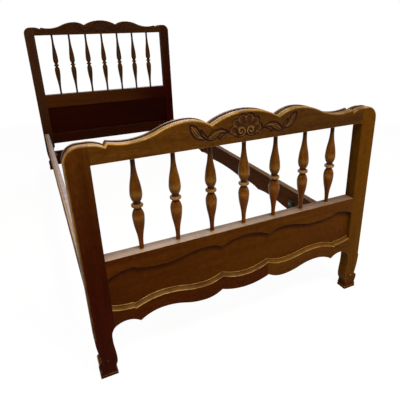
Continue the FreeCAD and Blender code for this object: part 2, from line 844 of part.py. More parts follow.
def slot_plate(label, side, y):
    """A plate set flush in a post, with two slots."""
    body = new_body(label)
    thickness = size("plate_thickness")
    low = (-PLATE_HALF_WIDTH, ZERO, -PLATE_HALF_HEIGHT)
    block(body, "Additive", "plate", low, (PLATE_HALF_WIDTH, thickness, PLATE_HALF_HEIGHT))
    slot_half = size("hook_width") / 2 + size("hook_play")
    for rise in (-1, 1):
        slot_low = size("hook_spacing") / 2 * rise - size("hook_drop") / 2
        slot_high = slot_low + size("hook_neck_height") + size("hook_drop") + size("hook_play")
        span = ((-slot_half, ZERO, slot_low), (slot_half, thickness, slot_high))
        block(body, "Subtractive", "slot", *span)
    place(body, (SIDE_MIDDLE * side, y, PLATE_MIDDLE))


def hook_plate(label, side, end):
    """A plate set in the end of a side rail, with two hooks that drop behind the slotted plate."""
    body = new_body(label)
    thickness = size("plate_thickness")
    low = (-PLATE_HALF_WIDTH, -thickness, -PLATE_HALF_HEIGHT)
    block(body, "Additive", "plate", low, (PLATE_HALF_WIDTH, ZERO, PLATE_HALF_HEIGHT))
    hook_half = size("hook_width") / 2
    tip_start = thickness + size("hook_play")
    tip_end = tip_start + size("hook_tip_depth")
    for rise in (-1, 1):
        foot = size("hook_spacing") / 2 * rise - size("hook_drop") / 2
        head = foot + size("hook_neck_height")
        block(body, "Additive", "neck", (-hook_half, ZERO, foot), (hook_half, tip_end, head))
        tip_low = (-hook_half, tip_start, foot - size("hook_drop"))
        block(body, "Additive", "tip", tip_low, (hook_half, tip_end, head))
    if end < 0:
        body.Placement.Rotation = FreeCAD.Rotation(FreeCAD.Vector(0, 0, 1), 180)
    place(body, (SIDE_MIDDLE * side, SIDE_HALF * end, PLATE_MIDDLE))


# Studs for the bed base, and their bolts

def stud(label, side, end):
    """A round stud on the inner face of a side rail."""
    body = new_body(label)
    disc = body.newObject("PartDesign::AdditiveCylinder", "disc")
    bind(disc, "Radius", size("stud_radius"))
    bind(disc, "Height", size("stud_thickness"))
    hole = body.newObject("PartDesign::SubtractiveCylinder", "bolt_hole")
    bind(hole, "Radius", size("bolt_radius") + size("hole_play"))
    bind(hole, "Height", size("stud_thickness"))
    body.Placement.Rotation = FreeCAD.Rotation(FreeCAD.Vector(0, 1, 0), -90 * side)
    place(body, (BASE_HALF * side, STUD_PLACE * end, STUD_HEIGHT))
    DOC.recompute()


def bolt(side, end):
    """One bolt through a stud into a side rail, with a six-sided head."""
    shank = DOC.addObject("Part::Cylinder", "bolt_shank")
    bind(shank, "Radius", size("bolt_radius"))
    bind(shank, "Height", size("bolt_depth") + size("stud_thickness"))
    head = DOC.addObject("Part::Prism", "bolt_head")
    head.Polygon = 6
    bind(head, "Circumradius", size("bolt_head_radius"))
    bind(head, "Height", size("bolt_head_height"))
    for item, offset in ((shank, size("bolt_depth")), (head, -size("stud_thickness"))):
        item.Placement.Rotation = FreeCAD.Rotation(FreeCAD.Vector(0, 1, 0), -90 * side)
        place(item, ((BASE_HALF + offset) * side, STUD_PLACE * end, STUD_HEIGHT))
    piece = DOC.addObject("Part::Fuse", "bolt")
    piece.Base = shank
    piece.Tool = head
    return piece


def bolts(label):
    """The four bolts of the studs, as one group of separate solids."""
    group = DOC.addObject("Part::Compound", label)
    group.Label = label
    group.Links = [bolt(side, end) for side in (-1, 1) for end in (-1, 1)]
    NODES[label] = group


# The bed

for side, name in ((-1, "left"), (1, "right")):
    foot_post(f"footboard_post_{name}", side)
    head_post(f"headboard_post_{name}", side)
    side_rail(f"side_rail_{name}", side)
    slot_plate(f"footboard_slot_plate_{name}", side, -SIDE_HALF - size("plate_thickness"))
    slot_plate(f"headboard_slot_plate_{name}", side, SIDE_HALF)
    hook_plate(f"rail_hook_foot_{name}", side, -1)
    hook_plate(f"rail_hook_head_{name}", side, 1)
    stud(f"base_stud_foot_{name}", side, -1)
    stud(f"base_stud_head_{name}", side, 1)
bolts("stud_bolts")

crest("footboard_crest_rail", FOOT_FACE, FOOT_CREST_EDGE)
crest("headboard_crest_rail", HEAD_FACE, HEAD_CREST_EDGE)
middle_rail("footboard_middle_rail", FOOT_FACE, FOOT_SPINDLE_FOOT, FOOT_MIDDLE_EDGE,
            foot_middle_half(), FOOT_GROOVE_TOP)
middle_rail("headboard_middle_rail", HEAD_FACE, HEAD_SPINDLE_FOOT, HEAD_MIDDLE_EDGE,
            head_middle_half(), HEAD_GROOVE_TOP)
apron("footboard_apron", FOOT_FACE)
bottom_rail("headboard_bottom_rail")
plain_rail("headboard_low_rail", LEG_HALF, size("low_rail_front"), size("low_rail_depth"),
           size("low_rail_floor_gap"), LOW_RAIL_TOP)
panel("footboard_panel", FOOT_FACE, FOOT_GROOVE_FLOOR, FOOT_GROOVE_TOP)
panel("headboard_panel", HEAD_FACE, HEAD_GROOVE_FLOOR, HEAD_GROOVE_TOP)
for number, x in enumerate(SPINDLE_PLACES, start=1):
    spindle(f"footboard_spindle_{number}", x, FOOT_FACE, FOOT_SPINDLE_FOOT, FOOT_CREST_EDGE)
    spindle(f"headboard_spindle_{number}", x, HEAD_FACE, HEAD_SPINDLE_FOOT, HEAD_CREST_EDGE)
DOC.recompute()

# Check every object, then write one file for each sub-part

faults = [item.Name for item in DOC.Objects if {"Invalid", "Error"} & set(item.State)]
faults += [label for label, item in NODES.items() if item.Shape.isNull() or not item.Shape.isValid()]
if faults:
    raise RuntimeError("objects that failed: " + ", ".join(faults))
os.makedirs("parts", exist_ok=True)
for label, item in NODES.items():
    item.Shape.exportStep(os.path.join("parts", f"{label}.step"))
print(len(NODES), "sub-parts written")
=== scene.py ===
# %% [markdown]
# # A child's bed with turned spindles and carved crests
# The bed is built from boards: two posts, shaped rails and a row of turned
# spindles at each end, and two long rails between them. The CAD model already
# has every board in its place, so this script keeps those shapes. It adds what a
# joiner does last: the arrises are eased, the crests are carved, the spindles
# are turned smooth, and everything is stained and varnished.

# %% Load the frame
import math

import bmesh
import bpy
import numpy as np
from mathutils import Matrix, Vector


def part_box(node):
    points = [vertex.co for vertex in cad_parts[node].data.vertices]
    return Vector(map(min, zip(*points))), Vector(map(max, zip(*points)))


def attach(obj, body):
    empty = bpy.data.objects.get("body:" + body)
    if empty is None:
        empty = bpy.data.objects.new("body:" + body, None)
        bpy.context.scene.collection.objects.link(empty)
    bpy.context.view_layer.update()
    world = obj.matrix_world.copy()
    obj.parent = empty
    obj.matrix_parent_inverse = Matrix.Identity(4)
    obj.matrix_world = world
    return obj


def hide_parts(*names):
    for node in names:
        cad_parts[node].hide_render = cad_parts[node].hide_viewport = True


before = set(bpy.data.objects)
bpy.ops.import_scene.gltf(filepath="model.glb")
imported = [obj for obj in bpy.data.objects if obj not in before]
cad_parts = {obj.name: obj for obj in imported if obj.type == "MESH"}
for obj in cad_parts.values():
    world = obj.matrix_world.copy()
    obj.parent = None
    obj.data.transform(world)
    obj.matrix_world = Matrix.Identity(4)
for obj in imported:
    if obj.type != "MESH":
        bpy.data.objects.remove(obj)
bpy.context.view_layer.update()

# %% [markdown]
# ## Measures
# Blender works in metres, and joiners in millimetres. One name, MM, turns the
# second into the first, so that every size below can be read as on a drawing.
# Heights and faces come from the CAD boards, so that nothing drifts from them.

# %% Measures taken from the boards
MM = 0.001
foot_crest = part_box("footboard_crest_rail")
head_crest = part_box("headboard_crest_rail")
CREST_END_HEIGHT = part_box("footboard_post_left")[1].z - foot_crest[0].z
POST_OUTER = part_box("footboard_post_right")[1].x
POST_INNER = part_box("footboard_post_right")[0].x
print("the crest is", round(CREST_END_HEIGHT / MM), "mm high where it meets the posts")

# %% [markdown]
# ## From loose triangles to a board
# A CAD board arrives as loose triangles. A copy of it is joined at its corners,
# and flat neighbours are dissolved into whole faces. Only then can its arrises
# be found and rounded, as sandpaper rounds them. The rounded strips are marked
# with a number on each face, which the wood reads later as paler edges: partly
# worn polish, partly painted highlight.

# %% Helpers for boards
ARRIS_ANGLE = math.radians(40)
FLAT_ANGLE = math.radians(0.6)
SHARP_ANGLE = math.radians(50)
SAME_POINT = 0.02 * MM
NARROWER = 0.7


def merged_board(node):
    """A copy of a CAD board, joined into whole faces."""
    mesh = bmesh.new()
    mesh.from_mesh(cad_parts[node].data)
    bmesh.ops.remove_doubles(mesh, verts=mesh.verts, dist=SAME_POINT)
    bmesh.ops.dissolve_limit(mesh, angle_limit=FLAT_ANGLE, use_dissolve_boundaries=False,
                             verts=mesh.verts, edges=mesh.edges, delimit=set())
    mesh.normal_update()
    return mesh


def folded_triangles(mesh):
    """How many triangles lie upside down in their face, as where two rounded arrises overlap."""
    count = 0
    for first, second, third in mesh.calc_loop_triangles():
        across = (second.vert.co - first.vert.co).cross(third.vert.co - first.vert.co)
        count += across.length > 1e-12 and across.dot(first.face.normal) < 0
    return count


def eased_board(node, width, at_joint=lambda place: False):
    """A board with rounded arrises, whose strips are marked paler, as worn edges and painted highlight, or
    dark at the joints.

    Where the strips fold over each other, it starts again with narrower ones.
    """
    while True:
        mesh = merged_board(node)
        rubbed_and_highlight = mesh.faces.layers.float.new("rubbed_and_highlight")
        joint_wax_and_shade = mesh.faces.layers.float.new("joint_wax_and_shade")
        arrises = [edge for edge in mesh.edges if edge.is_manifold and edge.calc_face_angle() > ARRIS_ANGLE]
        made = bmesh.ops.bevel(mesh, geom=arrises, offset=width, offset_type="OFFSET", segments=2,
                               profile=0.5, affect="EDGES", clamp_overlap=True, material=-1)
        # Each rounded strip is marked paler, partly as worn polish and partly as painted highlight; the
        # strips where a board meets a post are marked dark, as joints.
        for face in made["faces"]:
            face[joint_wax_and_shade if at_joint(face.calc_center_median()) else rubbed_and_highlight] = 1.0
        mesh.normal_update()
        if not folded_triangles(mesh):
            print(node, "has", len(arrises), "arrises, rounded over", round(width / MM, 2), "mm")
            return mesh
        mesh.free()
        width *= NARROWER


def faces_where(mesh, rule):
    """The faces that keep to a rule on the face and the place of its middle."""
    return [face for face in mesh.faces if rule(face, face.calc_center_median())]


def mark_faces(mesh, mark, amount, rule):
    """Set one mark on the faces: paler for worn edges and painted highlight, darker for waxing and painted
    shade.
    """
    layer = mesh.faces.layers.float[mark]
    for face in faces_where(mesh, rule):
        face[layer] = amount(face.calc_center_median()) if callable(amount) else amount


def fading(left, right):
    """An amount that changes evenly from the left post to the right post."""
    return lambda place: float(np.interp(place.x, (-POST_INNER, POST_INNER), (left, right)))


def place_object(name, data):
    """A new object for this data, linked into the scene."""
    thing = bpy.data.objects.new(name, data)
    bpy.context.collection.objects.link(thing)
    return thing


def varnish(piece, material):
    """Give a whole piece one finish."""
    piece.data.materials.clear()
    piece.data.materials.append(material)


def finish_piece(mesh, name, nodes, material):
    """Turn a bmesh into a varnished piece that stands for these CAD nodes."""
    data = bpy.data.meshes.new(name)
    mesh.normal_update()
    for face in mesh.faces:
        face.smooth = True
    mesh.to_mesh(data)
    mesh.free()
    data.set_sharp_from_angle(angle=SHARP_ANGLE)
    piece = place_object(name, data)
    even = piece.modifiers.new("Even shading", "WEIGHTED_NORMAL")
    even.keep_sharp = True
    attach(piece, "root")
    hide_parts(*nodes)
    varnish(piece, material)
    return piece


# %% [markdown]
# ## The grain
# Walnut stain gathers in the pores and leaves the hard fibres paler. Four noises
# that are stretched along the board give a broad figure, stripes, fibres and
# short pores. They sit in one node group, because every wood in the bed uses
# them: each material only stretches the pattern along its own board, with a
# Mapping node, and gives its own colours.


# %% Node helpers
def new_material(name):
    """A material, and the tree of its nodes."""
    material = bpy.data.materials.new(name)
    material.use_nodes = True
    return material, material.node_tree


def new_group(name, inputs, outputs):
    """A node group with named inputs and outputs, with its first node and its last."""
    group = bpy.data.node_groups.new(name, "ShaderNodeTree")
    for way, sockets in (("INPUT", inputs), ("OUTPUT", outputs)):
        for label, kind in sockets.items():
            group.interface.new_socket(name=label, in_out=way, socket_type=f"NodeSocket{kind}")
    return group, group.nodes.new("NodeGroupInput").outputs, group.nodes.new("NodeGroupOutput").inputs


def connect(tree, node, links):
    """Link or fill the inputs of a node."""
    for name, value in dict(links).items():
        if isinstance(value, bpy.types.NodeSocket):
            tree.links.new(value, node.inputs[name])
        else:
            node.inputs[name].default_value = value
    return node


def add(tree, kind, links=(), **settings):
    """Add a node, such as ShaderNodeMix for the kind Mix, set it up and connect it."""
    node = tree.nodes.new(f"ShaderNode{kind}")
    for key, value in settings.items():
        setattr(node, key, value)
    return connect(tree, node, links)


def ramp(tree, value, low, high):
    """A 0 to 1 value from where the input crosses these two levels."""
    node = add(tree, "MapRange", {"Value": value, "From Min": low, "From Max": high},
               interpolation_type="SMOOTHSTEP")
    return node.outputs["Result"]


def maths(tree, operation, first, second):
    """One step of arithmetic on two values."""
    node = add(tree, "Math", {0: first, 1: second}, operation=operation)
    return node.outputs[0]


def blend(tree, factor, first, second, kind="MIX"):
    """Mix two colours by a factor."""
    node = add(tree, "Mix", {0: factor, 6: first, 7: second}, data_type="RGBA", blend_type=kind)
    return node.outputs[2]


def speckle(tree, vector, scale, detail, **more):
    """A noise from 0 to 1. A larger scale gives finer spots."""
    node = add(tree, "TexNoise", {"Vector": vector, "Scale": scale, "Detail": detail, **more})
    return node.outputs["Fac"]


# %% The grain group
def grain_group():
    """Stained wood on stretched coordinates: a broad figure, fibres, stripes and pores."""
    inputs = {"Vector": "Vector", "Light": "Color", "Dark": "Color", "Figure": "Float"}
    group, given, result = new_group("Wood grain", inputs, {"Color": "Color", "Height": "Float"})
    vector = given["Vector"]
    wide = ramp(group, speckle(group, vector, 14.0, 3.0, Distortion=0.6), 0.3, 0.7)
    thin = ramp(group, speckle(group, vector, 130.0, 4.0, Roughness=0.6), 0.32, 0.68)
    stripe = ramp(group, speckle(group, vector, 46.0, 2.0), 0.35, 0.65)
    pore = ramp(group, speckle(group, vector, 620.0, 1.0), 0.38, 0.5)
    mixed = add(group, "Mix", {0: given["Figure"], 2: thin, 3: wide}, data_type="FLOAT")
    mixed = add(group, "Mix", {0: 0.4, 2: mixed.outputs[0], 3: stripe}, data_type="FLOAT")
    stained = blend(group, mixed.outputs[0], given["Dark"], given["Light"])
    pored = blend(group, maths(group, "MULTIPLY", pore, 0.45), given["Dark"], stained)
    group.links.new(blend(group, 0.75, stained, pored), result["Color"])
    group.links.new(maths(group, "MULTIPLY", pore, thin), result["Height"])
    return group


WOOD_GRAIN = grain_group()
print("grain group with", len(WOOD_GRAIN.nodes), "nodes")

# %% [markdown]
# ## Wear, wax and painted light
# The arrises are paler gold, partly as polish worn by hands and partly as painted
# highlight. Dark wax stays in joints and cuts, and painted shade darkens hollows and
# places that lie in shadow. Tops that face the ceiling get a pale painted sheen. The
# boards carry four marks as attributes: rubbing with highlight and joint wax with
# shade on faces, polish with highlight and hollow wax with shade on corners. The
# second group takes them and puts out a new colour and roughness. It also clouds
# the stain a little, and finds the tops by their normal.


# %% The wear group
def wear_and_painted_light_group():
    """Clouds, painted sheen on the tops, worn gold with painted highlight, and dark waxing with painted
    shade, over a wood's colour, in this order.
    """
    inputs = {"Color": "Color", "Vector": "Vector", "Rubbed and highlight colour": "Color", "Wax and shade colour": "Color",
              "Rub and highlight": "Float", "Gloss": "Float", "Painted sheen": "Float", "Painted sheen colour": "Color"}
    group, given, result = new_group("Rubbed, waxed and painted light", inputs, {"Color": "Color", "Roughness": "Float"})
    place = given["Vector"]
    rubbed_and_highlight, polished_and_highlight, hollow_wax_and_shade, joint_wax_and_shade = (add(group, "Attribute", attribute_name=mark).outputs["Fac"]
                                       for mark in ("rubbed_and_highlight", "polished_and_highlight", "hollow_wax_and_shade", "joint_wax_and_shade"))
    patchy = ramp(group, speckle(group, place, 30.0, 3.0), 0.3, 0.6)
    patchy = maths(group, "ADD", maths(group, "MULTIPLY", patchy, 0.6), 0.4)
    deep = blend(group, 1.0, given["Color"], (0.80, 0.78, 0.74, 1), "MULTIPLY")
    cloud = ramp(group, speckle(group, place, 70.0, 6.0), 0.3, 0.7)
    cloudy = blend(group, cloud, deep, given["Color"])
    # Painted sheen: faces that look up are mixed towards a pale colour, as a varnished top reflects the
    # room.
    normal = add(group, "NewGeometry").outputs["Normal"]
    upward = add(group, "SeparateXYZ", {"Vector": normal}).outputs["Z"]
    painted_sheen = maths(group, "MULTIPLY", ramp(group, upward, 0.75, 1.0), given["Painted sheen"])
    patchy_sheen = maths(group, "ADD", maths(group, "MULTIPLY", patchy, 0.35), 0.6)
    sheened = blend(group, maths(group, "MULTIPLY", painted_sheen, patchy_sheen), cloudy, given["Painted sheen colour"])
    # Worn polish and painted highlight: marked edges turn towards the paler gold.
    amount = maths(group, "MULTIPLY", maths(group, "MAXIMUM", rubbed_and_highlight, polished_and_highlight), given["Rub and highlight"])
    amount = maths(group, "MULTIPLY", amount, patchy)
    golden = blend(group, amount, sheened, given["Rubbed and highlight colour"])
    # Wax and painted shade: marked joints, cuts and shaded places turn towards the dark colour.
    wax_and_shade = maths(group, "MAXIMUM", hollow_wax_and_shade, maths(group, "MULTIPLY", joint_wax_and_shade, 0.8))
    group.links.new(blend(group, wax_and_shade, golden, given["Wax and shade colour"]), result["Color"])
    dull = maths(group, "MULTIPLY", speckle(group, place, 7.0, 4.0), 0.22)
    rough = maths(group, "ADD", given["Gloss"], dull)
    rough = maths(group, "ADD", rough, maths(group, "MULTIPLY", hollow_wax_and_shade, 0.25))
    group.links.new(rough, result["Roughness"])
    return group


WEAR_AND_PAINTED_LIGHT = wear_and_painted_light_group()
print("wear group with", len(WEAR_AND_PAINTED_LIGHT.nodes), "nodes")

# %% [markdown]
# ## One wood, three directions
# Grain runs along a board. The same recipe is therefore used for the rails
# (along X), the side rails (along Y) and the posts and spindles (along Z). Each
# kind of board has its own two colours, and most have a tint that comes in along
# the grain. Much of this is painted light and shade: the headboard is darker than
# the footboard, partly as painted shade, the posts and the side rails come as a
# shaded and a lit copy of one wood, and several tints are painted shade that
# deepens across the bed. The left post also grows darker and redder towards the floor.

# %% Wood materials
ALONG = {"X": (0.07, 1.0, 1.0), "Y": (1.0, 0.07, 1.0), "Z": (1.0, 1.0, 0.07)}
WAX_AND_SHADE_COLOUR = (0.012, 0.004, 0.004, 1)


def wood(name, along, light, dark, figure=0.5, gloss=0.3, rub_and_highlight=0.7, rubbed_and_highlight=(0.50, 0.29, 0.07), shift=0.0,
         deeper=None, shine=0.1, painted_sheen=0.5, painted_sheen_colour=(0.30, 0.215, 0.15)):
    """A stained and varnished wood.

    Deeper gives two places along the grain, and a tint for the first of them; on
    several woods this tint is painted shade. The painted sheen on the tops is one
    amount, or two: at the left post and at the right post.
    """
    material, tree = new_material(f"{name} walnut")
    place = add(tree, "TexCoord").outputs["Object"]
    stretch = {"Vector": place, "Location": (shift, shift, shift), "Scale": ALONG[along]}
    stretched = add(tree, "Mapping", stretch).outputs[0]
    stain = {"Vector": stretched, "Light": (*light, 1), "Dark": (*dark, 1), "Figure": figure}
    grain = add(tree, "Group", stain, node_tree=WOOD_GRAIN)
    stained = grain.outputs["Color"]
    if deeper:
        low, high, tint = deeper
        reach = add(tree, "SeparateXYZ", {"Vector": place}).outputs[along]
        tinted = blend(tree, 1.0, stained, (*tint, 1), "MULTIPLY")
        stained = blend(tree, ramp(tree, reach, low, high), tinted, stained)
    # The painted sheen on the tops: one amount, or two that change evenly from the left post to the right
    # post.
    if isinstance(painted_sheen, tuple):
        across = add(tree, "SeparateXYZ", {"Vector": place}).outputs["X"]
        spread = {"Value": across, "From Min": -POST_INNER, "From Max": POST_INNER,
                  "To Min": painted_sheen[0], "To Max": painted_sheen[1]}
        painted_sheen = add(tree, "MapRange", spread).outputs["Result"]
    use = {"Color": stained, "Vector": place, "Rubbed and highlight colour": (*rubbed_and_highlight, 1), "Wax and shade colour": WAX_AND_SHADE_COLOUR,
           "Rub and highlight": rub_and_highlight, "Gloss": gloss, "Painted sheen": painted_sheen, "Painted sheen colour": (*painted_sheen_colour, 1)}
    wear_and_painted_light = add(tree, "Group", use, node_tree=WEAR_AND_PAINTED_LIGHT)
    bump = add(tree, "Bump", {"Height": grain.outputs["Height"], "Strength": 0.25, "Distance": 0.3 * MM})
    connect(tree, tree.nodes["Principled BSDF"], {
        "Base Color": wear_and_painted_light.outputs["Color"], "Roughness": wear_and_painted_light.outputs["Roughness"],
        "Normal": bump.outputs[0], "Specular IOR Level": shine, "Specular Tint": (1.0, 0.5, 0.2, 1)})
    return material


# Painted shade: the footboard's crest is darker and less red towards the right post.
FOOT_RAIL_WOOD = wood(
    "Foot rail", "X", (0.084, 0.033, 0.004), (0.032, 0.01, 0.001), shine=0.03, painted_sheen=0.12,
    deeper=(0.2, -0.36, (0.66, 0.71, 0.9)))
# Painted shade and sheen: the footboard's middle rail is darker and redder towards the left post, and its
# top has more pale painted sheen there.
FOOT_LOW_WOOD = wood(
    "Foot low", "X", (0.072, 0.027, 0.001), (0.035, 0.01, 0.0006), shine=0.025, painted_sheen=(0.56, 0.14),
    painted_sheen_colour=(0.4, 0.31, 0.25), deeper=(-0.45, 0.25, (0.8, 0.58, 0.6)))
FOOT_APRON_WOOD = wood(
    "Foot apron", "X", (0.074, 0.028, 0.001), (0.034, 0.01, 0.0006), shine=0.02, painted_sheen=0.08,
    rubbed_and_highlight=(0.46, 0.28, 0.08), deeper=(0.078, 0.084, (0.62, 0.37, 0.35)))
# The foot posts are a shaded and a lit copy of one wood, the left one darker with painted shade. The left
# post also grows darker and redder towards the floor, and the right one at its very foot.
LEFT_POST_WOOD = wood(
    "Left post", "Z", (0.076, 0.027, 0.003), (0.03, 0.009, 0.001), shine=0.025,
    deeper=(0.26, 0.9, (0.46, 0.13, 0.12)))
RIGHT_POST_WOOD = wood(
    "Right post", "Z", (0.082, 0.033, 0.001), (0.043, 0.0148, 0.0006), figure=0.6, shine=0.012,
    deeper=(0.01, 0.07, (0.58, 0.3, 0.3)))
# Painted shade: the footboard's panel is darker and redder towards the left post.
FOOT_PANEL_WOOD = wood(
    "Foot panel", "X", (0.064, 0.0215, 0.0007), (0.035, 0.0095, 0.0004), figure=0.7, shine=0.02,
    deeper=(-0.45, 0.1, (0.84, 0.66, 0.6)))
TURNED_WOOD = wood(
    "Turned", "Z", (0.126, 0.053, 0.004), (0.036, 0.0115, 0.001), rub_and_highlight=0.8, gloss=0.08, shine=0.08,
    deeper=(0.4, 0.66, (1.0, 0.6, 0.4)))
# The headboard's woods are darker than the footboard's, partly as painted shade.
HEAD_RAIL_WOOD = wood(
    "Head rail", "X", (0.041, 0.0145, 0.004), (0.017, 0.005, 0.0015), rub_and_highlight=0.15, shift=0.7,
    shine=0.05, painted_sheen=0.1)
HEAD_MIDDLE_WOOD = wood(
    "Head middle", "X", (0.055, 0.0165, 0.0035), (0.024, 0.0055, 0.001), rub_and_highlight=0.15, shift=0.7,
    shine=0.03, painted_sheen=0.1, deeper=(0.4, 0.05, (0.36, 0.06, 0.3)))
HEAD_LEFT_WOOD = wood(
    "Head left", "Z", (0.051, 0.0205, 0.009), (0.022, 0.008, 0.003), rub_and_highlight=0.2, shift=0.7, shine=0.02,
    painted_sheen=0.1, deeper=(0.15, 0.5, (0.62, 0.33, 0.2)))
HEAD_RIGHT_WOOD = wood(
    "Head right", "Z", (0.036, 0.0105, 0.003), (0.015, 0.0038, 0.001), rub_and_highlight=0.15, shift=0.7,
    shine=0.006, painted_sheen=0.1, deeper=(0.45, 0.95, (0.7, 0.2, 0.4)))
HEAD_LOW_WOOD = wood(
    "Head low", "X", (0.021, 0.0037, 0.001), (0.01, 0.0013, 0.0005), rub_and_highlight=0.0, shift=0.7, shine=0.04,
    painted_sheen=0.1)
HEAD_PANEL_WOOD = wood(
    "Head panel", "X", (0.017, 0.0014, 0.0006), (0.008, 0.0006, 0.0003), figure=0.7, shift=0.7,
    shine=0.03, deeper=(0.45, -0.3, (0.6, 0.3, 0.4)))
HEAD_TURNED_WOOD = wood(
    "Head turned", "Z", (0.05, 0.018, 0.004), (0.02, 0.006, 0.0015), rub_and_highlight=0.15, shift=0.7,
    shine=0.06)
# The side rails are a shaded and a lit copy of one wood: the right one is darker with painted shade,
# deepening towards the headboard, and the left one is paler, with a strong pale painted sheen on its top.
RIGHT_SIDE_WOOD = wood(
    "Right side rail", "Y", (0.066, 0.021, 0.004), (0.028, 0.008, 0.0015), figure=0.6, shift=0.3,
    gloss=0.55, shine=0.02, painted_sheen=0.2, painted_sheen_colour=(0.28, 0.22, 0.15), rub_and_highlight=0.4,
    deeper=(0.9, -0.5, (0.7, 0.5, 0.4)))
LEFT_SIDE_WOOD = wood(
    "Left side rail", "Y", (0.11, 0.044, 0.008), (0.055, 0.018, 0.003), figure=0.6, shift=0.5,
    gloss=0.5, shine=0.03, painted_sheen=0.9, painted_sheen_colour=(0.36, 0.3, 0.3))
print(sum("walnut" in material.name for material in bpy.data.materials), "woods from one recipe")

# %% [markdown]
# ## Metal
# The studs that carry the bed base are blackened discs, each on a bolt whose head
# is worn a little brighter. The hooks and slotted plates inside the joints never
# show, and are plain zinc.


# %% Metal materials
def metal(name, colour, roughness, scratch):
    """A dull metal with small spots of darker and lighter tone."""
    material, tree = new_material(name)
    place = add(tree, "TexCoord").outputs["Object"]
    spots = speckle(tree, place, scratch, 4.0)
    dark = tuple(value * 0.6 for value in colour)
    spread = maths(tree, "MULTIPLY", spots, 0.3)
    bump = add(tree, "Bump", {"Height": spots, "Strength": 0.3, "Distance": 0.2 * MM})
    connect(tree, tree.nodes["Principled BSDF"], {
        "Base Color": blend(tree, spots, (*dark, 1), (*colour, 1)), "Metallic": 1.0,
        "Roughness": maths(tree, "ADD", spread, roughness), "Normal": bump.outputs[0]})
    return material


ZINC = metal("Dull zinc", (0.50, 0.49, 0.47), 0.35, 420.0)
BLACKENED = metal("Blackened steel", (0.032, 0.030, 0.028), 0.45, 420.0)
BRIGHT = metal("Worn steel", (0.13, 0.12, 0.11), 0.35, 700.0)
fittings = [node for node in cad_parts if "plate" in node or "hook" in node or "stud" in node]
for node in fittings:
    varnish(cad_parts[node], BRIGHT if node == "stud_bolts" else BLACKENED if "stud" in node else ZINC)
print(len(fittings), "nodes are metal fittings")

# %% [markdown]
# ## Plain boards
# The boards without carving only need their arrises eased. Each takes the wood
# whose grain runs along it. The apron's cove carries a painted highlight, stronger
# towards the left post, and bands of painted shade lie along the back of the top
# of the footboard's middle rail. The side rails also have a fine line scratched
# along their tops, which sets off a narrow bead outside. To make it, the top is
# cut along three lines, and the middle one is let down.


# %% Helpers that cut a flat face along lines
CLOSE = 0.1 * MM


def top_faces(mesh, height):
    """The flat faces on top of a board of this height."""
    return faces_where(mesh, lambda face, place: face.normal.z > 0.99 and place.z > height - CLOSE)


def slice_faces(mesh, faces, axis, value):
    """Cut these faces along one line, and give back all that they became."""
    geometry = [*faces, *{edge for face in faces for edge in face.edges},
                *{corner for face in faces for corner in face.verts}]
    direction = Vector((0, 0, 0))
    direction[axis] = 1
    made = bmesh.ops.bisect_plane(mesh, geom=geometry, dist=0.005 * MM,
                                  plane_co=direction * value, plane_no=direction)
    return [item for item in made["geom"] if isinstance(item, bmesh.types.BMFace)]


def cut_lines(mesh, faces, axis, values):
    """Cut faces along parallel lines, from the lowest to the highest."""
    done = []
    for value in values:
        cut = slice_faces(mesh, faces, axis, value)
        done += [face for face in cut if face.calc_center_median()[axis] < value]
        faces = [face for face in cut if face.calc_center_median()[axis] > value]
    return done + faces


BEAD_WIDTH = 8.5 * MM
SCRATCH_DEPTH = 1.4 * MM
SCRATCH_CUTS = (-1.1, 0, 1.1)


def scratch_bead(mesh, side, near, far):
    """Scratch a line along the top of a side rail, and leave the bead outside it browner."""
    line = side * max(side * near.x, side * far.x) - side * BEAD_WIDTH
    cut_lines(mesh, top_faces(mesh, far.z), 0, [line + shift * MM for shift in SCRATCH_CUTS])
    hollow_wax_and_shade = mesh.verts.layers.float.new("hollow_wax_and_shade")
    for corner in mesh.verts:
        if abs(corner.co.x - line) < CLOSE and corner.co.z > far.z - CLOSE:
            corner.co.z -= SCRATCH_DEPTH
            corner[hollow_wax_and_shade] = 1.0
    for mark, amount in (("rubbed_and_highlight", 0.8), ("joint_wax_and_shade", 0.45)):
        mark_faces(mesh, mark, amount,
                   lambda face, place: face.normal.z > 0.9 and side * (place.x - line) > 1 * MM)


# %% Ease and varnish the plain boards
# Bands of the cove's painted highlight: start and end behind the front in millimetres, and the amount at
# the left and right post.
COVE_HIGHLIGHT_BANDS = ((0.1, 11.5, 0.9, 0.4), (1.7, 8.8, 0.15, 0.03))
# How far behind the front each band of painted shade starts, and how dark it is.
SHADE_BANDS = ((18 * MM, 0.15), (23 * MM, 0.3), (28 * MM, 0.45))
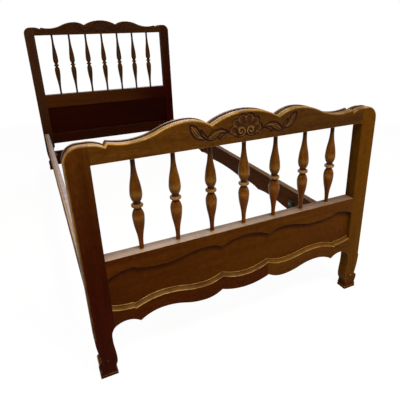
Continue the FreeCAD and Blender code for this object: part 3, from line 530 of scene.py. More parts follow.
# Each board's wood, and the width of its arrises in millimetres.
PLAIN_BOARDS = {
    "footboard_middle_rail": (FOOT_LOW_WOOD, 1.6),
    "footboard_apron": (FOOT_APRON_WOOD, 0.9),
    "headboard_panel": (HEAD_PANEL_WOOD, 0.4),
    "headboard_middle_rail": (HEAD_MIDDLE_WOOD, 1.6),
    "headboard_bottom_rail": (HEAD_LOW_WOOD, 1.6),
    "headboard_low_rail": (HEAD_LOW_WOOD, 1.2),
    "side_rail_left": (LEFT_SIDE_WOOD, 2.0),
    "side_rail_right": (RIGHT_SIDE_WOOD, 2.0),
}
for node, (material, width) in PLAIN_BOARDS.items():
    near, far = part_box(node)
    along = 1 if node.startswith("side_rail") else 0
    end = (far.y if along else POST_INNER) - (width + 0.5) * MM
    board = eased_board(node, width * MM, lambda place: abs(place[along]) > end)
    if node == "footboard_apron":
        # Painted highlight in the cove, stronger towards the left post.
        for start, stop, left_highlight, right_highlight in COVE_HIGHLIGHT_BANDS:
            mark_faces(board, "rubbed_and_highlight", fading(left_highlight, right_highlight),
                       lambda face, place: near.y + start * MM < place.y < near.y + stop * MM
                       and face.normal.z > 0.05 and abs(face.normal.x) < 0.9)
    if node == "footboard_middle_rail":
        # Bands of painted shade along the back of the middle rail's top.
        cut_lines(board, top_faces(board, far.z), 1, [near.y + depth for depth, _ in SHADE_BANDS])
        for depth, amount in SHADE_BANDS:
            mark_faces(board, "joint_wax_and_shade", amount,
                       lambda face, place: face.normal.z > 0.9 and place.y > near.y + depth)
    if node.startswith("side_rail"):
        scratch_bead(board, -1 if node.endswith("left") else 1, near, far)
    finish_piece(board, f"varnished_{node}", [node], material)

# %% [markdown]
# ## Drawing the carving
# The crests carry a scallop shell over two volutes, with a long leaf, a small
# leaf and an upturned leaf on either side. A carver draws the outlines on the
# board first. So does this cell: a smooth line through a few points, given in
# millimetres from the middle of the board and from the height of its ends.


# %% Lines of the carving
def smooth_line(points, steps=8):
    """A curve that passes through every point."""
    line = []
    padded = [points[0], *points, points[-1]]
    for before, start, end, after in zip(padded, padded[1:], padded[2:], padded[3:]):
        for step in range(steps):
            t = step / steps
            line.append([0.5 * (2 * b + (c - a) * t + (2 * a - 5 * b + 4 * c - d) * t * t
                                + (3 * b - a - 3 * c + d) * t ** 3)
                         for a, b, c, d in zip(before, start, end, after)])
    line.append(list(points[-1]))
    return np.array(line)


LONG_LEAF = [(120, -31), (112, -20), (103, -11), (91, -7), (77, -6), (63, -12), (53, -20),
             (65, -18), (78, -18), (88, -25), (97, -31), (108, -34), (120, -31)]
TOP_LEAF = [(122, -29), (133, -19), (142, -4), (150, 8), (165, 13),
            (163, -5), (153, -20), (139, -28), (122, -29)]
SMALL_LEAF = [(117, -24), (125, -16), (131, -9), (135, -2), (137, -10), (132, -19), (124, -26)]
CURL = [(88, -27), (82, -33), (74, -26), (62, -20)]
LONG_RIB = [(118, -31), (106, -22), (92, -15), (76, -12), (60, -16)]
TOP_RIB = [(124, -28), (140, -20), (151, -6), (162, 11)]
SHELL_FOOT = [(49, -20), (40, -28), (28, -35.5), (16, -36), (0, -31)]
VOLUTE = (15.0, -20.5)
VOLUTE_RADIUS = 15.0
SHELL_HEART = (0.0, -22.0)
# Each lobe of the shell: where it starts and ends, in degrees from upright, and how far it reaches.
LOBES = [(0, 34, 51), (34, 63, 52), (63, 97, 51)]


def spiral(centre, start_radius, turns, start_angle, steps=24, closes=0.86):
    """A volute that winds inwards, with so many steps a turn, and loses this share of its radius."""
    line = []
    for step in range(int(turns * steps) + 1):
        angle = start_angle - step / steps * 2 * math.pi
        radius = start_radius * (1 - step / steps / turns * closes)
        line.append((centre[0] + radius * math.cos(angle), centre[1] + radius * math.sin(angle)))
    return np.array(line)


def distance_to(points, line):
    """Distance of each point from a line of short straight runs."""
    nearest = np.full(len(points), 1e9)
    for start, end in zip(line, line[1:]):
        run = end - start
        share = np.clip((points - start) @ run / max(run @ run, 1e-12), 0, 1)
        nearest = np.minimum(nearest, np.linalg.norm(points - start - share[:, None] * run, axis=1))
    return nearest


def inside(points, line):
    """Whether each point is inside a closed line."""
    odd = np.zeros(len(points), bool)
    for (x0, y0), (x1, y1) in zip(line, np.roll(line, -1, axis=0)):
        crosses = (y0 > points[:, 1]) != (y1 > points[:, 1])
        at = (x1 - x0) * (points[:, 1] - y0) / (y1 - y0 if y1 != y0 else 1e-12) + x0
        odd ^= crosses & (points[:, 0] < at)
    return odd


# %% [markdown]
# ## The depth of the carving
# The carving is sunk: nothing stands above the board. Every cut is a depth at a
# point. A V-shaped cut follows each outline, a leaf is low at its edge and
# rounds up to the middle, and the shell is a fan of hollow flutes. The same
# functions give how much dark wax and painted shade, and how much polish and
# painted highlight are there, from 0 to 1. Their widths and depths are in
# millimetres, as on the drawing.


# %% Depth, wax and polish at each point of the board
# How far the dark marks are lifted in millimetres, so that painted shade lies on the upper wall of each
# cut, and how much stronger they are made.
SHADE_LIFT = 0.6
WAX_AND_SHADE_STRENGTH = 1.4


def vee(distance, width, depth):
    """A V-shaped cut along a line."""
    return -depth * np.clip(1 - distance / width, 0, 1)


def blur_line(distance, width):
    """A soft mark along a line, from 1 on it to 0 beside it."""
    return np.exp(-(distance / width) ** 2)


def climb(value, start, width):
    """0 before the start, 1 one width further, and an even climb between them."""
    return np.clip((value - start) / width, 0, 1)


def carve_leaves(half, depth, wax_and_shade, polish_and_highlight):
    """Leaves that are low at their outline, with a dip on each side of the rib, waxing and painted shade
    along the cuts, and painted highlights inside the outline and on the rib.
    """
    for outline, rib in ((LONG_LEAF, LONG_RIB), (TOP_LEAF, TOP_RIB), (SMALL_LEAF, None)):
        line = smooth_line(outline)
        edge = distance_to(half, line)
        within = inside(half, line)
        crown = -2.4 * (1 - climb(edge, 0, 3.2)) ** 1.5
        depth = np.where(within, np.minimum(depth, crown), np.minimum(depth, vee(edge, 2.8, 2.8)))
        wax_and_shade = np.maximum(wax_and_shade, blur_line(edge, 2.6))
        polish_and_highlight = np.maximum(polish_and_highlight, 0.25 * blur_line(edge - 3.4, 0.9) * within)
        if rib:
            middle = distance_to(half, smooth_line(rib))
            beside = -1.3 * blur_line(middle - 2.6, 1.4)
            depth = np.where(within, np.minimum(depth, beside), depth)
            wax_and_shade = np.maximum(wax_and_shade, 0.55 * blur_line(middle - 2.6, 1.2) * within)
            polish_and_highlight = np.maximum(polish_and_highlight, 0.3 * blur_line(middle, 0.9) * within)
    curl = distance_to(half, smooth_line(CURL))
    depth = np.minimum(depth, vee(curl, 2.6, 2.6))
    return depth, np.maximum(wax_and_shade, blur_line(curl, 2.0)), polish_and_highlight


def carve_shell(half, depth, wax_and_shade, polish_and_highlight):
    """A fan of sunken flutes inside a lobed rim, with painted shade in the flutes, waxing and painted shade
    along the rim, and painted highlights on the ridges and just inside the rim.
    """
    away = half - np.array(SHELL_HEART)
    angle = np.degrees(np.arctan2(away[:, 0], away[:, 1]))
    radius = np.linalg.norm(away, axis=1)
    flute = np.zeros(len(half))
    rim = np.full(len(half), 1.0)
    for start, end, reach in LOBES:
        lobe = (angle >= start) & (angle < end)
        arch = np.sin(np.pi * climb(angle, start, end - start))
        flute = np.where(lobe, arch, flute)
        rim = np.where(lobe, reach * (0.84 + 0.16 * arch ** 0.7), rim)
    sector = (angle >= 0) & (angle < LOBES[-1][1])
    fan = sector & (radius < rim)
    rise = np.clip(radius / rim, 0, 1.2)
    gap = np.abs(rim - radius)
    bowl = -1.0 - 3.0 * flute * climb(rise, 0.3, 0.45) * (1 - 0.6 * climb(rise, 0.88, 0.12))
    depth = np.where(fan, bowl, np.minimum(depth, np.where(sector, vee(gap, 2.6, 3.0), 0)))
    shade = 0.12 + 0.35 * blur_line(rise - 0.56, 0.16) + 0.22 * flute * climb(rise, 0.4, 0.35)
    wax_and_shade = np.where(fan, shade, wax_and_shade)
    wax_and_shade = np.maximum(wax_and_shade, blur_line(gap, 2.4) * sector)
    ridge = (1 - climb(flute, 0, 0.3)) * climb(rise, 0.2, 0.4)
    polish_and_highlight = np.where(fan, np.maximum(0.25 * ridge, 0.5 * blur_line(gap - 3.6, 1.3)), polish_and_highlight)
    return depth, wax_and_shade, polish_and_highlight


def carve_volutes(half, depth, wax_and_shade, polish_and_highlight):
    """Two rolls that curl inwards under the shell, with waxing and painted shade in their cuts and a
    painted highlight on the rolls.
    """
    foot = distance_to(half, smooth_line(SHELL_FOOT))
    depth = np.minimum(depth, vee(foot, 2.4, 2.8))
    wax_and_shade = np.maximum(wax_and_shade, blur_line(foot, 1.5))
    out = half - np.array(VOLUTE)
    radius = np.linalg.norm(out, axis=1)
    roll = radius < VOLUTE_RADIUS
    wind = distance_to(half, spiral(VOLUTE, VOLUTE_RADIUS - 3, 1.1, math.radians(15)))
    depth = np.where(roll, -0.3 + vee(wind, 2.6, 3.2), depth)
    wax_and_shade = np.where(roll, blur_line(wind, 2.0), wax_and_shade)
    polish_and_highlight = np.where(roll, 0.22 * climb(wind, 1.8, 1.4), polish_and_highlight)
    ring = np.abs(radius - VOLUTE_RADIUS)
    round_it = (half[:, 1] > VOLUTE[1] - 13) | (out[:, 0] < 4)
    depth = np.minimum(depth, vee(ring, 2.0, 3.2) * round_it)
    wax_and_shade = np.maximum(wax_and_shade, blur_line(ring, 1.4) * round_it)
    return depth, wax_and_shade, polish_and_highlight


def carve(points):
    """Depth in millimetres, then darkness from waxing and painted shade and paleness from polishing and
    painted highlight, both from 0 to 1, for points in millimetres.
    """
    half = np.stack([np.abs(points[:, 0]), points[:, 1]], axis=1)
    marks = np.zeros((3, len(points)))
    for cut in (carve_leaves, carve_shell, carve_volutes):
        marks = cut(half, *marks)
    return marks


def carving_with_painted_shade(points):
    """The carving, with its darkness moved up a little: the lower wall of each cut, which faces up, stays
    bare, and the upper wall takes the painted shade.
    """
    depth, _, polish_and_highlight = carve(points)
    wax_and_shade = carve(points - np.array([0.0, SHADE_LIFT]))[1]
    return depth, np.minimum(WAX_AND_SHADE_STRENGTH * wax_and_shade, 1), polish_and_highlight


# %% [markdown]
# ## Cutting the carving into a board
# A flat face has no points to move, so the part under the carving is first cut
# into small squares, with bisect_plane, once for each line of the grid. Then
# each point is moved back by its depth. The cuts stay inside the face, so the
# board's outline stays as it was. The crest's top is marked first, from front to
# back: the arris carries a painted highlight, a strip behind it painted shade,
# the next strip a painted highlight again, and the groove painted shade. The
# little steps near the ends carry the strongest painted highlight.


# %% Helpers that cut and carve a face
FLAT_NORMAL = 0.999


def cut_squares(mesh, face_y, low, high, step):
    """Cut the flat face at this depth into squares between two corners, given as (x, z)."""
    faces = faces_where(mesh, lambda face, place: abs(face.normal.y) > FLAT_NORMAL
                        and abs(place.y - face_y) < 0.01 * MM)
    for axis, side in ((0, 0), (2, 1)):
        faces = cut_lines(mesh, faces, axis, (low[side], high[side]))
        faces = [face for face in faces if low[side] < face.calc_center_median()[axis] < high[side]]
    for axis, side in ((0, 0), (2, 1)):
        count = round((high[side] - low[side]) / step)
        faces = cut_lines(mesh, faces, axis, [low[side] + number * step for number in range(1, count)])
    return faces


def carve_face(mesh, face_y, low, high, step, inward, marks_of):
    """Cut squares, move their corners inwards by their depth, and store their darkness, from waxing and
    painted shade, and their paleness, from polishing and painted highlight.
    """
    faces = cut_squares(mesh, face_y, low, high, step)
    layers = mesh.verts.layers.float
    hollow_wax_and_shade = layers.get("hollow_wax_and_shade") or layers.new("hollow_wax_and_shade")
    polished_and_highlight = layers.get("polished_and_highlight") or layers.new("polished_and_highlight")
    corners = [corner for corner in {corner for face in faces for corner in face.verts}
               if all(abs(face.normal.y) > FLAT_NORMAL for face in corner.link_faces)]
    depth, wax_and_shade, polish_and_highlight = marks_of(np.array([(corner.co.x, corner.co.z) for corner in corners]))
    for corner, down, dark, bright in zip(corners, depth, wax_and_shade, polish_and_highlight):
        corner.co.y -= float(down) * MM * inward
        corner[hollow_wax_and_shade] = float(dark)
        corner[polished_and_highlight] = float(bright * (1 - dark))
    print(len(faces), "squares, with", len(corners), "corners that can sink")


# %% Carve the crests
JOINT_STRIP = 1.5 * MM
ARRIS_DEPTH = 6 * MM
LAND = (5 * MM, 17 * MM)
# Strips on the crest's top, measured from the front: painted shade, then painted highlight; the groove
# behind them is painted as shade.
SHADE_STRIP = (4 * MM, 9.5 * MM)
HIGHLIGHT_STRIP = (9.5 * MM, 19 * MM)
GROOVE = (19.5 * MM, 32.5 * MM)
GROOVE_HEIGHT = 30 * MM
STEP_PLACE = (378 * MM, 386 * MM)
CARVING_STEP = 1.1 * MM
CARVING_LOW = -46 * MM
CARVING_HIGH = 31 * MM
CARVING_HALF = 172 * MM
CARVING_MIDDLE = -3 * MM


def at_depth(place, front, strip):
    """Whether a place lies in this strip, measured from the front of its board."""
    return front + strip[0] < place.y < front + strip[1]


def on_arris(face, place, front, flattest=-0.97):
    """Whether a face is on a rounded arris at the front of its board."""
    return place.y < front + ARRIS_DEPTH and flattest < face.normal.y < -0.15


for node, crest_box, material in (("footboard_crest_rail", foot_crest, FOOT_RAIL_WOOD),
                                  ("headboard_crest_rail", head_crest, HEAD_RAIL_WOOD)):
    end = POST_INNER - JOINT_STRIP
    board = eased_board(node, 1.0 * MM, lambda place: abs(place.x) > end)
    front = crest_box[0].y
    # Painted highlight along the front arris, stronger towards the left post.
    for flattest, amount in ((-0.97, 0.12), (-0.75, fading(0.75, 0.25))):
        mark_faces(board, "rubbed_and_highlight", amount,
                   lambda face, place: on_arris(face, place, front, flattest) and face.normal.z > 0.1)
    # Behind the arris: a strip of painted shade, then a strip of painted highlight, stronger towards the
    # left post.
    land = faces_where(board, lambda face, place: face.normal.z > 0.6 and at_depth(place, front, LAND))
    cut_lines(board, land, 1, [front + SHADE_STRIP[1]])
    for mark, amount, strip in (("joint_wax_and_shade", 0.6, SHADE_STRIP), ("rubbed_and_highlight", fading(0.5, 0.3), HIGHLIGHT_STRIP)):
        mark_faces(board, mark, amount,
                   lambda face, place: at_depth(place, front, strip) and face.normal.z > 0.6)
    # The strongest painted highlight, on the little steps near the ends.
    mark_faces(board, "rubbed_and_highlight", 1.0, lambda face, place: STEP_PLACE[0] < abs(place.x) < STEP_PLACE[1]
               and abs(face.normal.x) > 0.6 and face.normal.z > 0.1 and place.y < front + HIGHLIGHT_STRIP[1])
    # Painted shade in the groove along the back of the top.
    mark_faces(board, "joint_wax_and_shade", 0.8, lambda face, place: at_depth(place, front, GROOVE)
               and place.z > crest_box[0].z + GROOVE_HEIGHT)
    end_height = crest_box[0].z + CREST_END_HEIGHT
    middle = np.array([CARVING_MIDDLE, end_height])
    carve_face(board, front, (-CARVING_HALF, end_height + CARVING_LOW),
               (CARVING_HALF, end_height + CARVING_HIGH), CARVING_STEP, 1,
               lambda points: carving_with_painted_shade((points - middle) / MM))
    finish_piece(board, f"carved_{node}", [node], material)

# %% [markdown]
# ## Painted shadow under the middle rail
# The shaped rail above the panel stands in front of it, and its shadow on the
# panel is painted as a dark band. The band follows the rail's lower edge, which
# is read from the rail's own mesh, and it fades downwards.

# %% Paint the rail's shadow on the top of the foot panel
# The painted shadow is full down to the first distance below the rail's edge, and gone at the second.
SHADOW_FULL = 8 * MM
SHADOW_END = 25 * MM
SHADOW_AMOUNT = 0.6
PANEL_MARGIN = 3 * MM
PANEL_STEP = 4 * MM
rail_near, rail_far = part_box("footboard_middle_rail")
rail = merged_board("footboard_middle_rail")
rail_edge = sorted((corner.co.x, corner.co.z) for corner in rail.verts
                   if corner.co.y < rail_near.y + CLOSE and corner.co.z < rail_far.z - 5 * MM)
rail.free()


def painted_shadow_under_rail(points):
    """No depth and no paleness, and a painted shadow that fades below the rail's edge."""
    down = np.interp(points[:, 0], *zip(*rail_edge)) - points[:, 1]
    wax_and_shade = SHADOW_AMOUNT * np.interp(down, (SHADOW_FULL, SHADOW_END), (1, 0))
    none = np.zeros(len(points))
    return none, wax_and_shade, none


near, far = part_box("footboard_panel")
board = eased_board("footboard_panel", 0.4 * MM, lambda place: abs(place.x) > POST_INNER - 0.9 * MM)
low_edge = min(height for across, height in rail_edge)
carve_face(board, near.y, (PANEL_MARGIN - POST_INNER, low_edge - SHADOW_END),
           (POST_INNER - PANEL_MARGIN, far.z - PANEL_MARGIN), PANEL_STEP, 1, painted_shadow_under_rail)
finish_piece(board, "varnished_footboard_panel", ["footboard_panel"], FOOT_PANEL_WOOD)
print("the rail's lower edge has", len(rail_edge), "corners")

# %% [markdown]
# ## Scrolled feet
# Each leg ends in a small snail scroll. Its outline is in the board already; on
# the front and the back a groove winds from the notch at the ankle to an eye.
# The foot also has a neck, a roll on its outer side and a groove over its pad. For
# these, rings are cut round it, and their corners move out or in by their height.

# %% Shape the feet
FOOT_TOP = 66 * MM
FOOT_WIDTH = 51 * MM
ANKLE = 120 * MM
RINGS = (2, 5, 8, 9.5, 11, 12.5, 14, *range(16, 66, 2))
# Painted highlights on each foot, as heights above the floor: a faint band along the pad, and two stripes
# on the outer roll.
PAD_HIGHLIGHT = (7 * MM, 9.6 * MM)
ROLL_HIGHLIGHTS = ((43.9 * MM, 46.1 * MM), (51.9 * MM, 56.1 * MM))
# How far each side of a foot moves out, in millimetres, at heights above the floor.
OUTER_SHIFT = [(0, 0), (8, 0), (11, -2.2), (14, 0), (18, -1.6), (26, -2.4), (34, -1.6), (40, 0), (46, 2.0),
               (52, 4.0), (57, 3.4), (61, 0.6), (66, 0)]
INNER_SHIFT = [(0, 0), (8, 0), (11, -1.8), (14, -0.4), (20, -3.2), (27, -3.4), (35, -1.6), (44, 0), (66, 0)]
PAD_GROOVE = [(8, 0), (11, 1.6), (14, 0)]


def shape_foot(mesh, side):
    """Cut rings round the foot, and move their corners to form the neck, the roll and the groove."""
    faces = faces_where(mesh, lambda face, place: place.z < ANKLE
                        and min(corner.co.z for corner in face.verts) < FOOT_TOP)
    cut_lines(mesh, faces, 2, [height * MM for height in RINGS])
    # Painted highlights on the pad and on the outer roll.
    mark_faces(mesh, "rubbed_and_highlight", 0.2, lambda face, place: PAD_HIGHLIGHT[0] < place.z < PAD_HIGHLIGHT[1])
    for low, high in ROLL_HIGHLIGHTS:
        mark_faces(mesh, "rubbed_and_highlight", 1.0, lambda face, place: low < place.z < high
                   and side * face.normal.x > 0.3 and side * place.x > POST_OUTER - 7 * MM)
    outer = side * POST_OUTER
    middle = sum(corner.co.y for corner in mesh.verts) / len(mesh.verts)
    for corner in mesh.verts:
        if corner.co.z < FOOT_TOP:
            height = corner.co.z / MM
            share = min(abs(outer - corner.co.x) / FOOT_WIDTH, 1)
            outer_shift = np.interp(height, *zip(*OUTER_SHIFT))
            inner_shift = np.interp(height, *zip(*INNER_SHIFT))
            out = outer_shift * (1 - share) - inner_shift * share
            corner.co.x = side * min(side * (corner.co.x + side * out * MM), POST_OUTER)
            corner.co.y += np.interp(height, *zip(*PAD_GROOVE)) * MM * (1 if corner.co.y < middle else -1)


# %% Carve the scrolls into the posts
EYE = (26.5 * MM, 59 * MM)
SCROLL_REACH = 21 * MM
SCROLL_STEP = 1.2 * MM
# How strong the painted highlight on the eye of each foot's scroll is.
EYE_HIGHLIGHT = {"left": 0.15, "right": 1.0}
# From which height the front arris carries a painted highlight, and how much.
ARRIS_HIGHLIGHT = ((12 * MM, 0.2), (140 * MM, 0.1))
# The outer arris carries more painted highlight towards the top: two heights in metres, and the two
# amounts.
OUTER_HIGHLIGHT = ((0.14, 0.6), (0.02, 0.42))
OUTER_CUTS = [height * MM for height in range(160, 560, 40)]


def carve_scroll(points, bright):
    """Depth of one foot's scroll, with waxing and painted shade in its groove and a painted highlight on
    its eye, for points measured from the eye.
    """
    wind = distance_to(points, spiral((0.0, 0.0), 17.0, 1.25, math.radians(20)))
    eye = np.linalg.norm(points, axis=1)
    depth = np.minimum(vee(wind, 2.0, 1.2), vee(np.abs(eye - 3.2), 1.2, 1.4))
    return depth, 0.5 * blur_line(wind, 1.3), bright * blur_line(eye, 2.2)


for end, left_wood, right_wood in (("footboard", LEFT_POST_WOOD, RIGHT_POST_WOOD),
                                   ("headboard", HEAD_LEFT_WOOD, HEAD_RIGHT_WOOD)):
    rail_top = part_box(f"{end}_middle_rail")[1].z
    crest_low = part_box(f"{end}_crest_rail")[0].z
    rail_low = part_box("footboard_apron" if end == "footboard" else "headboard_bottom_rail")[0].z
    joint_x = POST_INNER + JOINT_STRIP
    for side, name, material in ((-1, "left", left_wood), (1, "right", right_wood)):
        node = f"{end}_post_{name}"
        board = eased_board(node, 1.0 * MM, lambda place: abs(place.x) < joint_x
                            and (place.z > crest_low or rail_low < place.z < rail_top))
        near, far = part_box(node)
        for above, amount in ARRIS_HIGHLIGHT:
            mark_faces(board, "rubbed_and_highlight", amount, lambda face, place: on_arris(face, place, near.y)
                       and face.normal.z > -0.1 and place.z > above)
        outer_arris = faces_where(board, lambda face, place: on_arris(face, place, near.y)
                                  and side * face.normal.x > 0.2)
        cut_lines(board, outer_arris, 2, OUTER_CUTS)
        mark_faces(board, "rubbed_and_highlight", lambda place: float(np.interp(place.z, *OUTER_HIGHLIGHT)),
                   lambda face, place: on_arris(face, place, near.y, -0.75)
                   and side * face.normal.x + face.normal.z > 0.3 and place.z > 140 * MM)
        # Painted shade in the groove on the top of the post.
        mark_faces(board, "joint_wax_and_shade", 0.8, lambda face, place: at_depth(place, near.y, GROOVE)
                   and place.z > crest_low and abs(place.x) > joint_x)
        eye = np.array([side * (POST_OUTER - EYE[0]), EYE[1]])
        for face_y, inward in ((near.y, 1), (far.y, -1)):
            carve_face(board, face_y, eye - SCROLL_REACH, eye + SCROLL_REACH, SCROLL_STEP, inward,
                       lambda points: carve_scroll((points - eye) / MM * (side, 1), EYE_HIGHLIGHT[name]))
        shape_foot(board, side)
        piece = finish_piece(board, f"scrolled_{node}", [node], material)
        print(node, "has", len(piece.data.polygons), "faces")

# %% [markdown]
# ## Turned spindles
# A spindle is turned on a lathe, and spin does the same with a bmesh: half a
# profile goes round the axis in one full turn. Ring, bulbs and stems keep the CAD
# spindle's radii. The ring is a round bead with a fine quirk on each side, where
# wax makes a dark line that fades over the bulbs as painted shade, and the taper
# from a bulb to its stem is a little fuller. The top of each stem carries the
# crest's painted shadow, and the ring and the bulbs carry painted highlights.

# %% Turn the spindles
# Radii of the ring, the quirk beside it, the neck, the bulbs and the stems, in millimetres.
RING = 16.3
QUIRK = 10.6
NECK = 9
BULB = 16.7
STEM = 6.3
# Heights above the spindle's middle: end of the ring, end of the neck, middle of the bulb.
BEAD = 5.3
NECK_RISE = 9
BULB_RISE = 33.0
# The share of the rest that the taper takes.
TAPER = 0.8
LENGTH_STEPS = 120
ROUND_STEPS = 40
FINE_RISES = (1.2, 2.4, 3.5, 4.4, 4.9, 5.2, 5.4, 7.8, 8.99, 10)
# Wax in the quirks with painted shade beside them, the crest's painted shadow on the top of the stem,
# painted highlights on the ring and the bulbs, and a pale band at the foot: distances from the middle
# or from an end of the spindle, and the amounts there.
RING_WAX_AND_SHADE = ((4.4, 5.2, 9.0, 12, 17), (0, 0.9, 0.9, 0.3, 0))
TOP_PAINTED_SHADOW = ((0, 22, 60), (0.85, 0.6, 0))
RING_AND_BULB_HIGHLIGHT = ((0, 3.6, 4.6, 22, BULB_RISE, 48), (0.27, 0.21, 0, 0, 0.11, 0))
FOOT_POLISH = ((0, 5), (0.8, 0))


def spindle_radius(rise, reach):
    """Radius of a spindle at a height above its middle, both in millimetres."""
    rise = abs(rise)
    if rise < BEAD:
        return RING - BEAD + math.sqrt(BEAD ** 2 - rise ** 2)
    if rise < NECK_RISE:
        return QUIRK - (rise - BEAD) / (NECK_RISE - BEAD) * (QUIRK - NECK)
    if rise < BULB_RISE:
        radius = ((BULB - NECK) ** 2 + (BULB_RISE - NECK_RISE) ** 2) / (2 * (BULB - NECK))
        return BULB - radius + math.sqrt(radius ** 2 - (BULB_RISE - rise) ** 2)
    share = min((rise - BULB_RISE) / ((reach - BULB_RISE) * TAPER), 1)
    ease = 2 * share ** 2 if share < 0.5 else 1 - 2 * (1 - share) ** 2
    return BULB + (STEM - BULB) * (0.7 * ease + 0.3 * share)


def turned_spindle(node, reach):
    """Spin a spindle's profile round the axis of its CAD node."""
    near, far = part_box(node)
    middle = (near + far) / 2
    rises = [-reach + number * 2 * reach / LENGTH_STEPS for number in range(LENGTH_STEPS + 1)]
    rises += [sign * rise for sign in (-1, 1) for rise in FINE_RISES]
    mesh = bmesh.new()
    hollow_wax_and_shade = mesh.verts.layers.float.new("hollow_wax_and_shade")
    polished_and_highlight = mesh.verts.layers.float.new("polished_and_highlight")
    profile = []
    for rise in sorted(set(rises)):
        place = middle + Vector((spindle_radius(rise, reach) * MM, 0, rise * MM))
        corner = mesh.verts.new(place)
        # Wax in the quirks and painted shade beside them, and the crest's painted shadow on the top of the
        # stem.
        dark = max(np.interp(abs(rise), *RING_WAX_AND_SHADE), np.interp(reach - rise, *TOP_PAINTED_SHADOW))
        corner[hollow_wax_and_shade] = float(dark)
        # Painted highlights on the ring and the bulbs, and a pale band at the foot.
        bright = max(np.interp(abs(rise), *RING_AND_BULB_HIGHLIGHT), np.interp(reach + rise, *FOOT_POLISH))
        corner[polished_and_highlight] = float(bright)
        profile.append(corner)
    lines = [mesh.edges.new(pair) for pair in zip(profile, profile[1:])]
    bmesh.ops.spin(mesh, geom=[*profile, *lines], cent=middle, axis=(0, 0, 1),
                   angle=2 * math.pi, steps=ROUND_STEPS, use_merge=True, use_duplicate=False)
    bmesh.ops.remove_doubles(mesh, verts=mesh.verts, dist=0.01 * MM)
    bmesh.ops.holes_fill(mesh, edges=mesh.edges, sides=0)
    bmesh.ops.recalc_face_normals(mesh, faces=mesh.faces)
    return mesh


for end, material in (("footboard", TURNED_WOOD), ("headboard", HEAD_TURNED_WOOD)):
    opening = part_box(f"{end}_crest_rail")[0].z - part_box(f"{end}_middle_rail")[1].z
    for number in range(1, 8):
        node = f"{end}_spindle_{number}"
        turning = turned_spindle(node, opening / MM / 2)
        finish_piece(turning, f"turned_{node}", [node], material)
    print(end, "spindles are", round(opening / MM), "mm long between the rails")

# %% [markdown]
# ## Floor and light
# The room is a pale floor under a plain soft light, with white behind it. The
# floor mixes a little diffuse white, which keeps the shadow, with plain white
# that only the camera and the reflections see. Far from the bed it is all white,
# so that it has no edge. To the light the room is grey, and paler behind the bed.

# %% Floor
WHITE = (1, 1, 1, 1)
FLOOR_SIZE = 9.0
FLOOR_FADE = (1.2, 3.0)
FLOOR_WHITE = 0.95


def seen_rays(tree):
    """1 for what the camera, a reflection or a view through glass sees, and 0 for light."""
    path = add(tree, "LightPath").outputs
    seen = maths(tree, "MAXIMUM", path["Is Camera Ray"], path["Is Glossy Ray"])
    return maths(tree, "MAXIMUM", seen, path["Is Transmission Ray"])


floor_mesh = bpy.data.meshes.new("floor")
floor_shape = bmesh.new()
bmesh.ops.create_grid(floor_shape, x_segments=1, y_segments=1, size=FLOOR_SIZE)
floor_shape.to_mesh(floor_mesh)
floor_shape.free()
floor = place_object("floor", floor_mesh)
floor.location.z = -0.5 * MM

pale, tree = new_material("Pale floor")
tree.nodes.clear()
plain = add(tree, "BsdfDiffuse", {"Color": (0.8, 0.8, 0.8, 1)})
white = add(tree, "Emission", {"Color": WHITE, "Strength": 1.0})
spot = add(tree, "TexCoord").outputs["Object"]
away = add(tree, "VectorMath", {0: spot}, operation="LENGTH").outputs["Value"]
whiter = maths(tree, "MAXIMUM", ramp(tree, away, *FLOOR_FADE), FLOOR_WHITE)
share = maths(tree, "MULTIPLY", seen_rays(tree), whiter)
mix = add(tree, "MixShader", {0: share, 1: plain.outputs[0], 2: white.outputs[0]})
add(tree, "OutputMaterial", {"Surface": mix.outputs[0]})
floor_mesh.materials.append(pale)
print("the floor lies", round(-floor.location.z / MM, 1), "mm under the feet")

# %% World
world = bpy.data.worlds.new("Studio")
bpy.context.scene.world = world
world.use_nodes = True
tree = world.node_tree
tree.nodes.clear()
direction = add(tree, "TexCoord").outputs["Generated"]
parts = add(tree, "SeparateXYZ", {"Vector": direction})
behind = ramp(tree, parts.outputs["Y"], -0.4, 0.9)
soft = blend(tree, behind, (0.11, 0.10, 0.09, 1), (0.38, 0.39, 0.42, 1))
room = blend(tree, seen_rays(tree), soft, WHITE)
glow = add(tree, "Background", {"Color": room, "Strength": 1.0})
add(tree, "OutputWorld", {"Surface": glow.outputs[0]})
print("the world has", len(tree.nodes), "nodes")


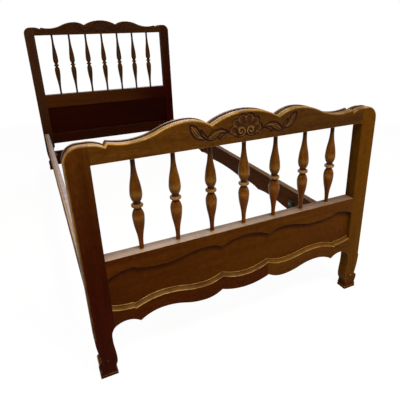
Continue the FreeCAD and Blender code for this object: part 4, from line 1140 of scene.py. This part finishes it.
# %% Lamps
def softbox(name, place, aim, size, power, colour):
    """A round lamp at a place, which shines at its aim. Places and size are in metres."""
    lamp = bpy.data.lights.new(name, "AREA")
    lamp.shape = "DISK"
    lamp.size = size
    lamp.energy = power
    lamp.color = colour
    holder = place_object(name, lamp)
    holder.location = place
    holder.rotation_euler = (Vector(aim) - Vector(place)).to_track_quat("-Z", "Y").to_euler()


softbox("key", (0.5, -2.5, 2.9), (0.1, -1.0, 0.4), 0.7, 112, (1.0, 0.92, 0.78))
softbox("lamp", (1.5, -2.3, 1.0), (0.4, -1.0, 0.25), 0.7, 20, (1.0, 0.84, 0.58))
softbox("daylight", (-2.6, -1.5, 1.9), (-0.1, -0.9, 0.5), 0.8, 42, (0.97, 0.97, 1.0))
softbox("window", (1.4, 3.6, 2.4), (0, -0.6, 0.4), 2.2, 110, (0.94, 0.96, 1.0))
softbox("ceiling", (-0.5, -1.9, 2.4), (-0.2, -1.0, 0.7), 1.2, 30, (1.0, 0.95, 0.88))
print(len(bpy.data.lights), "lamps")

# %% [markdown]
# ## Camera
# The picture was taken from the left of the footboard, looking down at the bed.
# The lens and the small shift reproduce its frame of 400 by 400 pixels.

# %% Camera
PICTURE = 400
FOCAL_PIXELS = 390.47
CENTRE_PIXEL = (220.11, 184.80)
YAW = 0.4439
PITCH = 0.3888
ROLL = -0.0211
CAMERA_PLACE = Vector((-523.6, -1957.7, 954.8)) * MM
forward = Vector((math.sin(YAW) * math.cos(PITCH), math.cos(YAW) * math.cos(PITCH), -math.sin(PITCH)))
level = Vector((math.cos(YAW), -math.sin(YAW), 0))
upright = level.cross(forward)
right = math.cos(ROLL) * level + math.sin(ROLL) * upright
up = -math.sin(ROLL) * level + math.cos(ROLL) * upright
lens = bpy.data.cameras.new("camera")
lens.sensor_width = 36.0
lens.lens = FOCAL_PIXELS / PICTURE * lens.sensor_width
lens.shift_x = (PICTURE / 2 - CENTRE_PIXEL[0]) / PICTURE
lens.shift_y = (CENTRE_PIXEL[1] - PICTURE / 2) / PICTURE
camera = place_object("camera", lens)
turn = Matrix((right, up, -forward)).transposed().to_4x4()
camera.matrix_world = Matrix.Translation(CAMERA_PLACE) @ turn
bpy.context.scene.camera = camera
bpy.context.scene.view_settings.view_transform = "Standard"
print("the camera looks down by", round(math.degrees(PITCH)), "degrees")
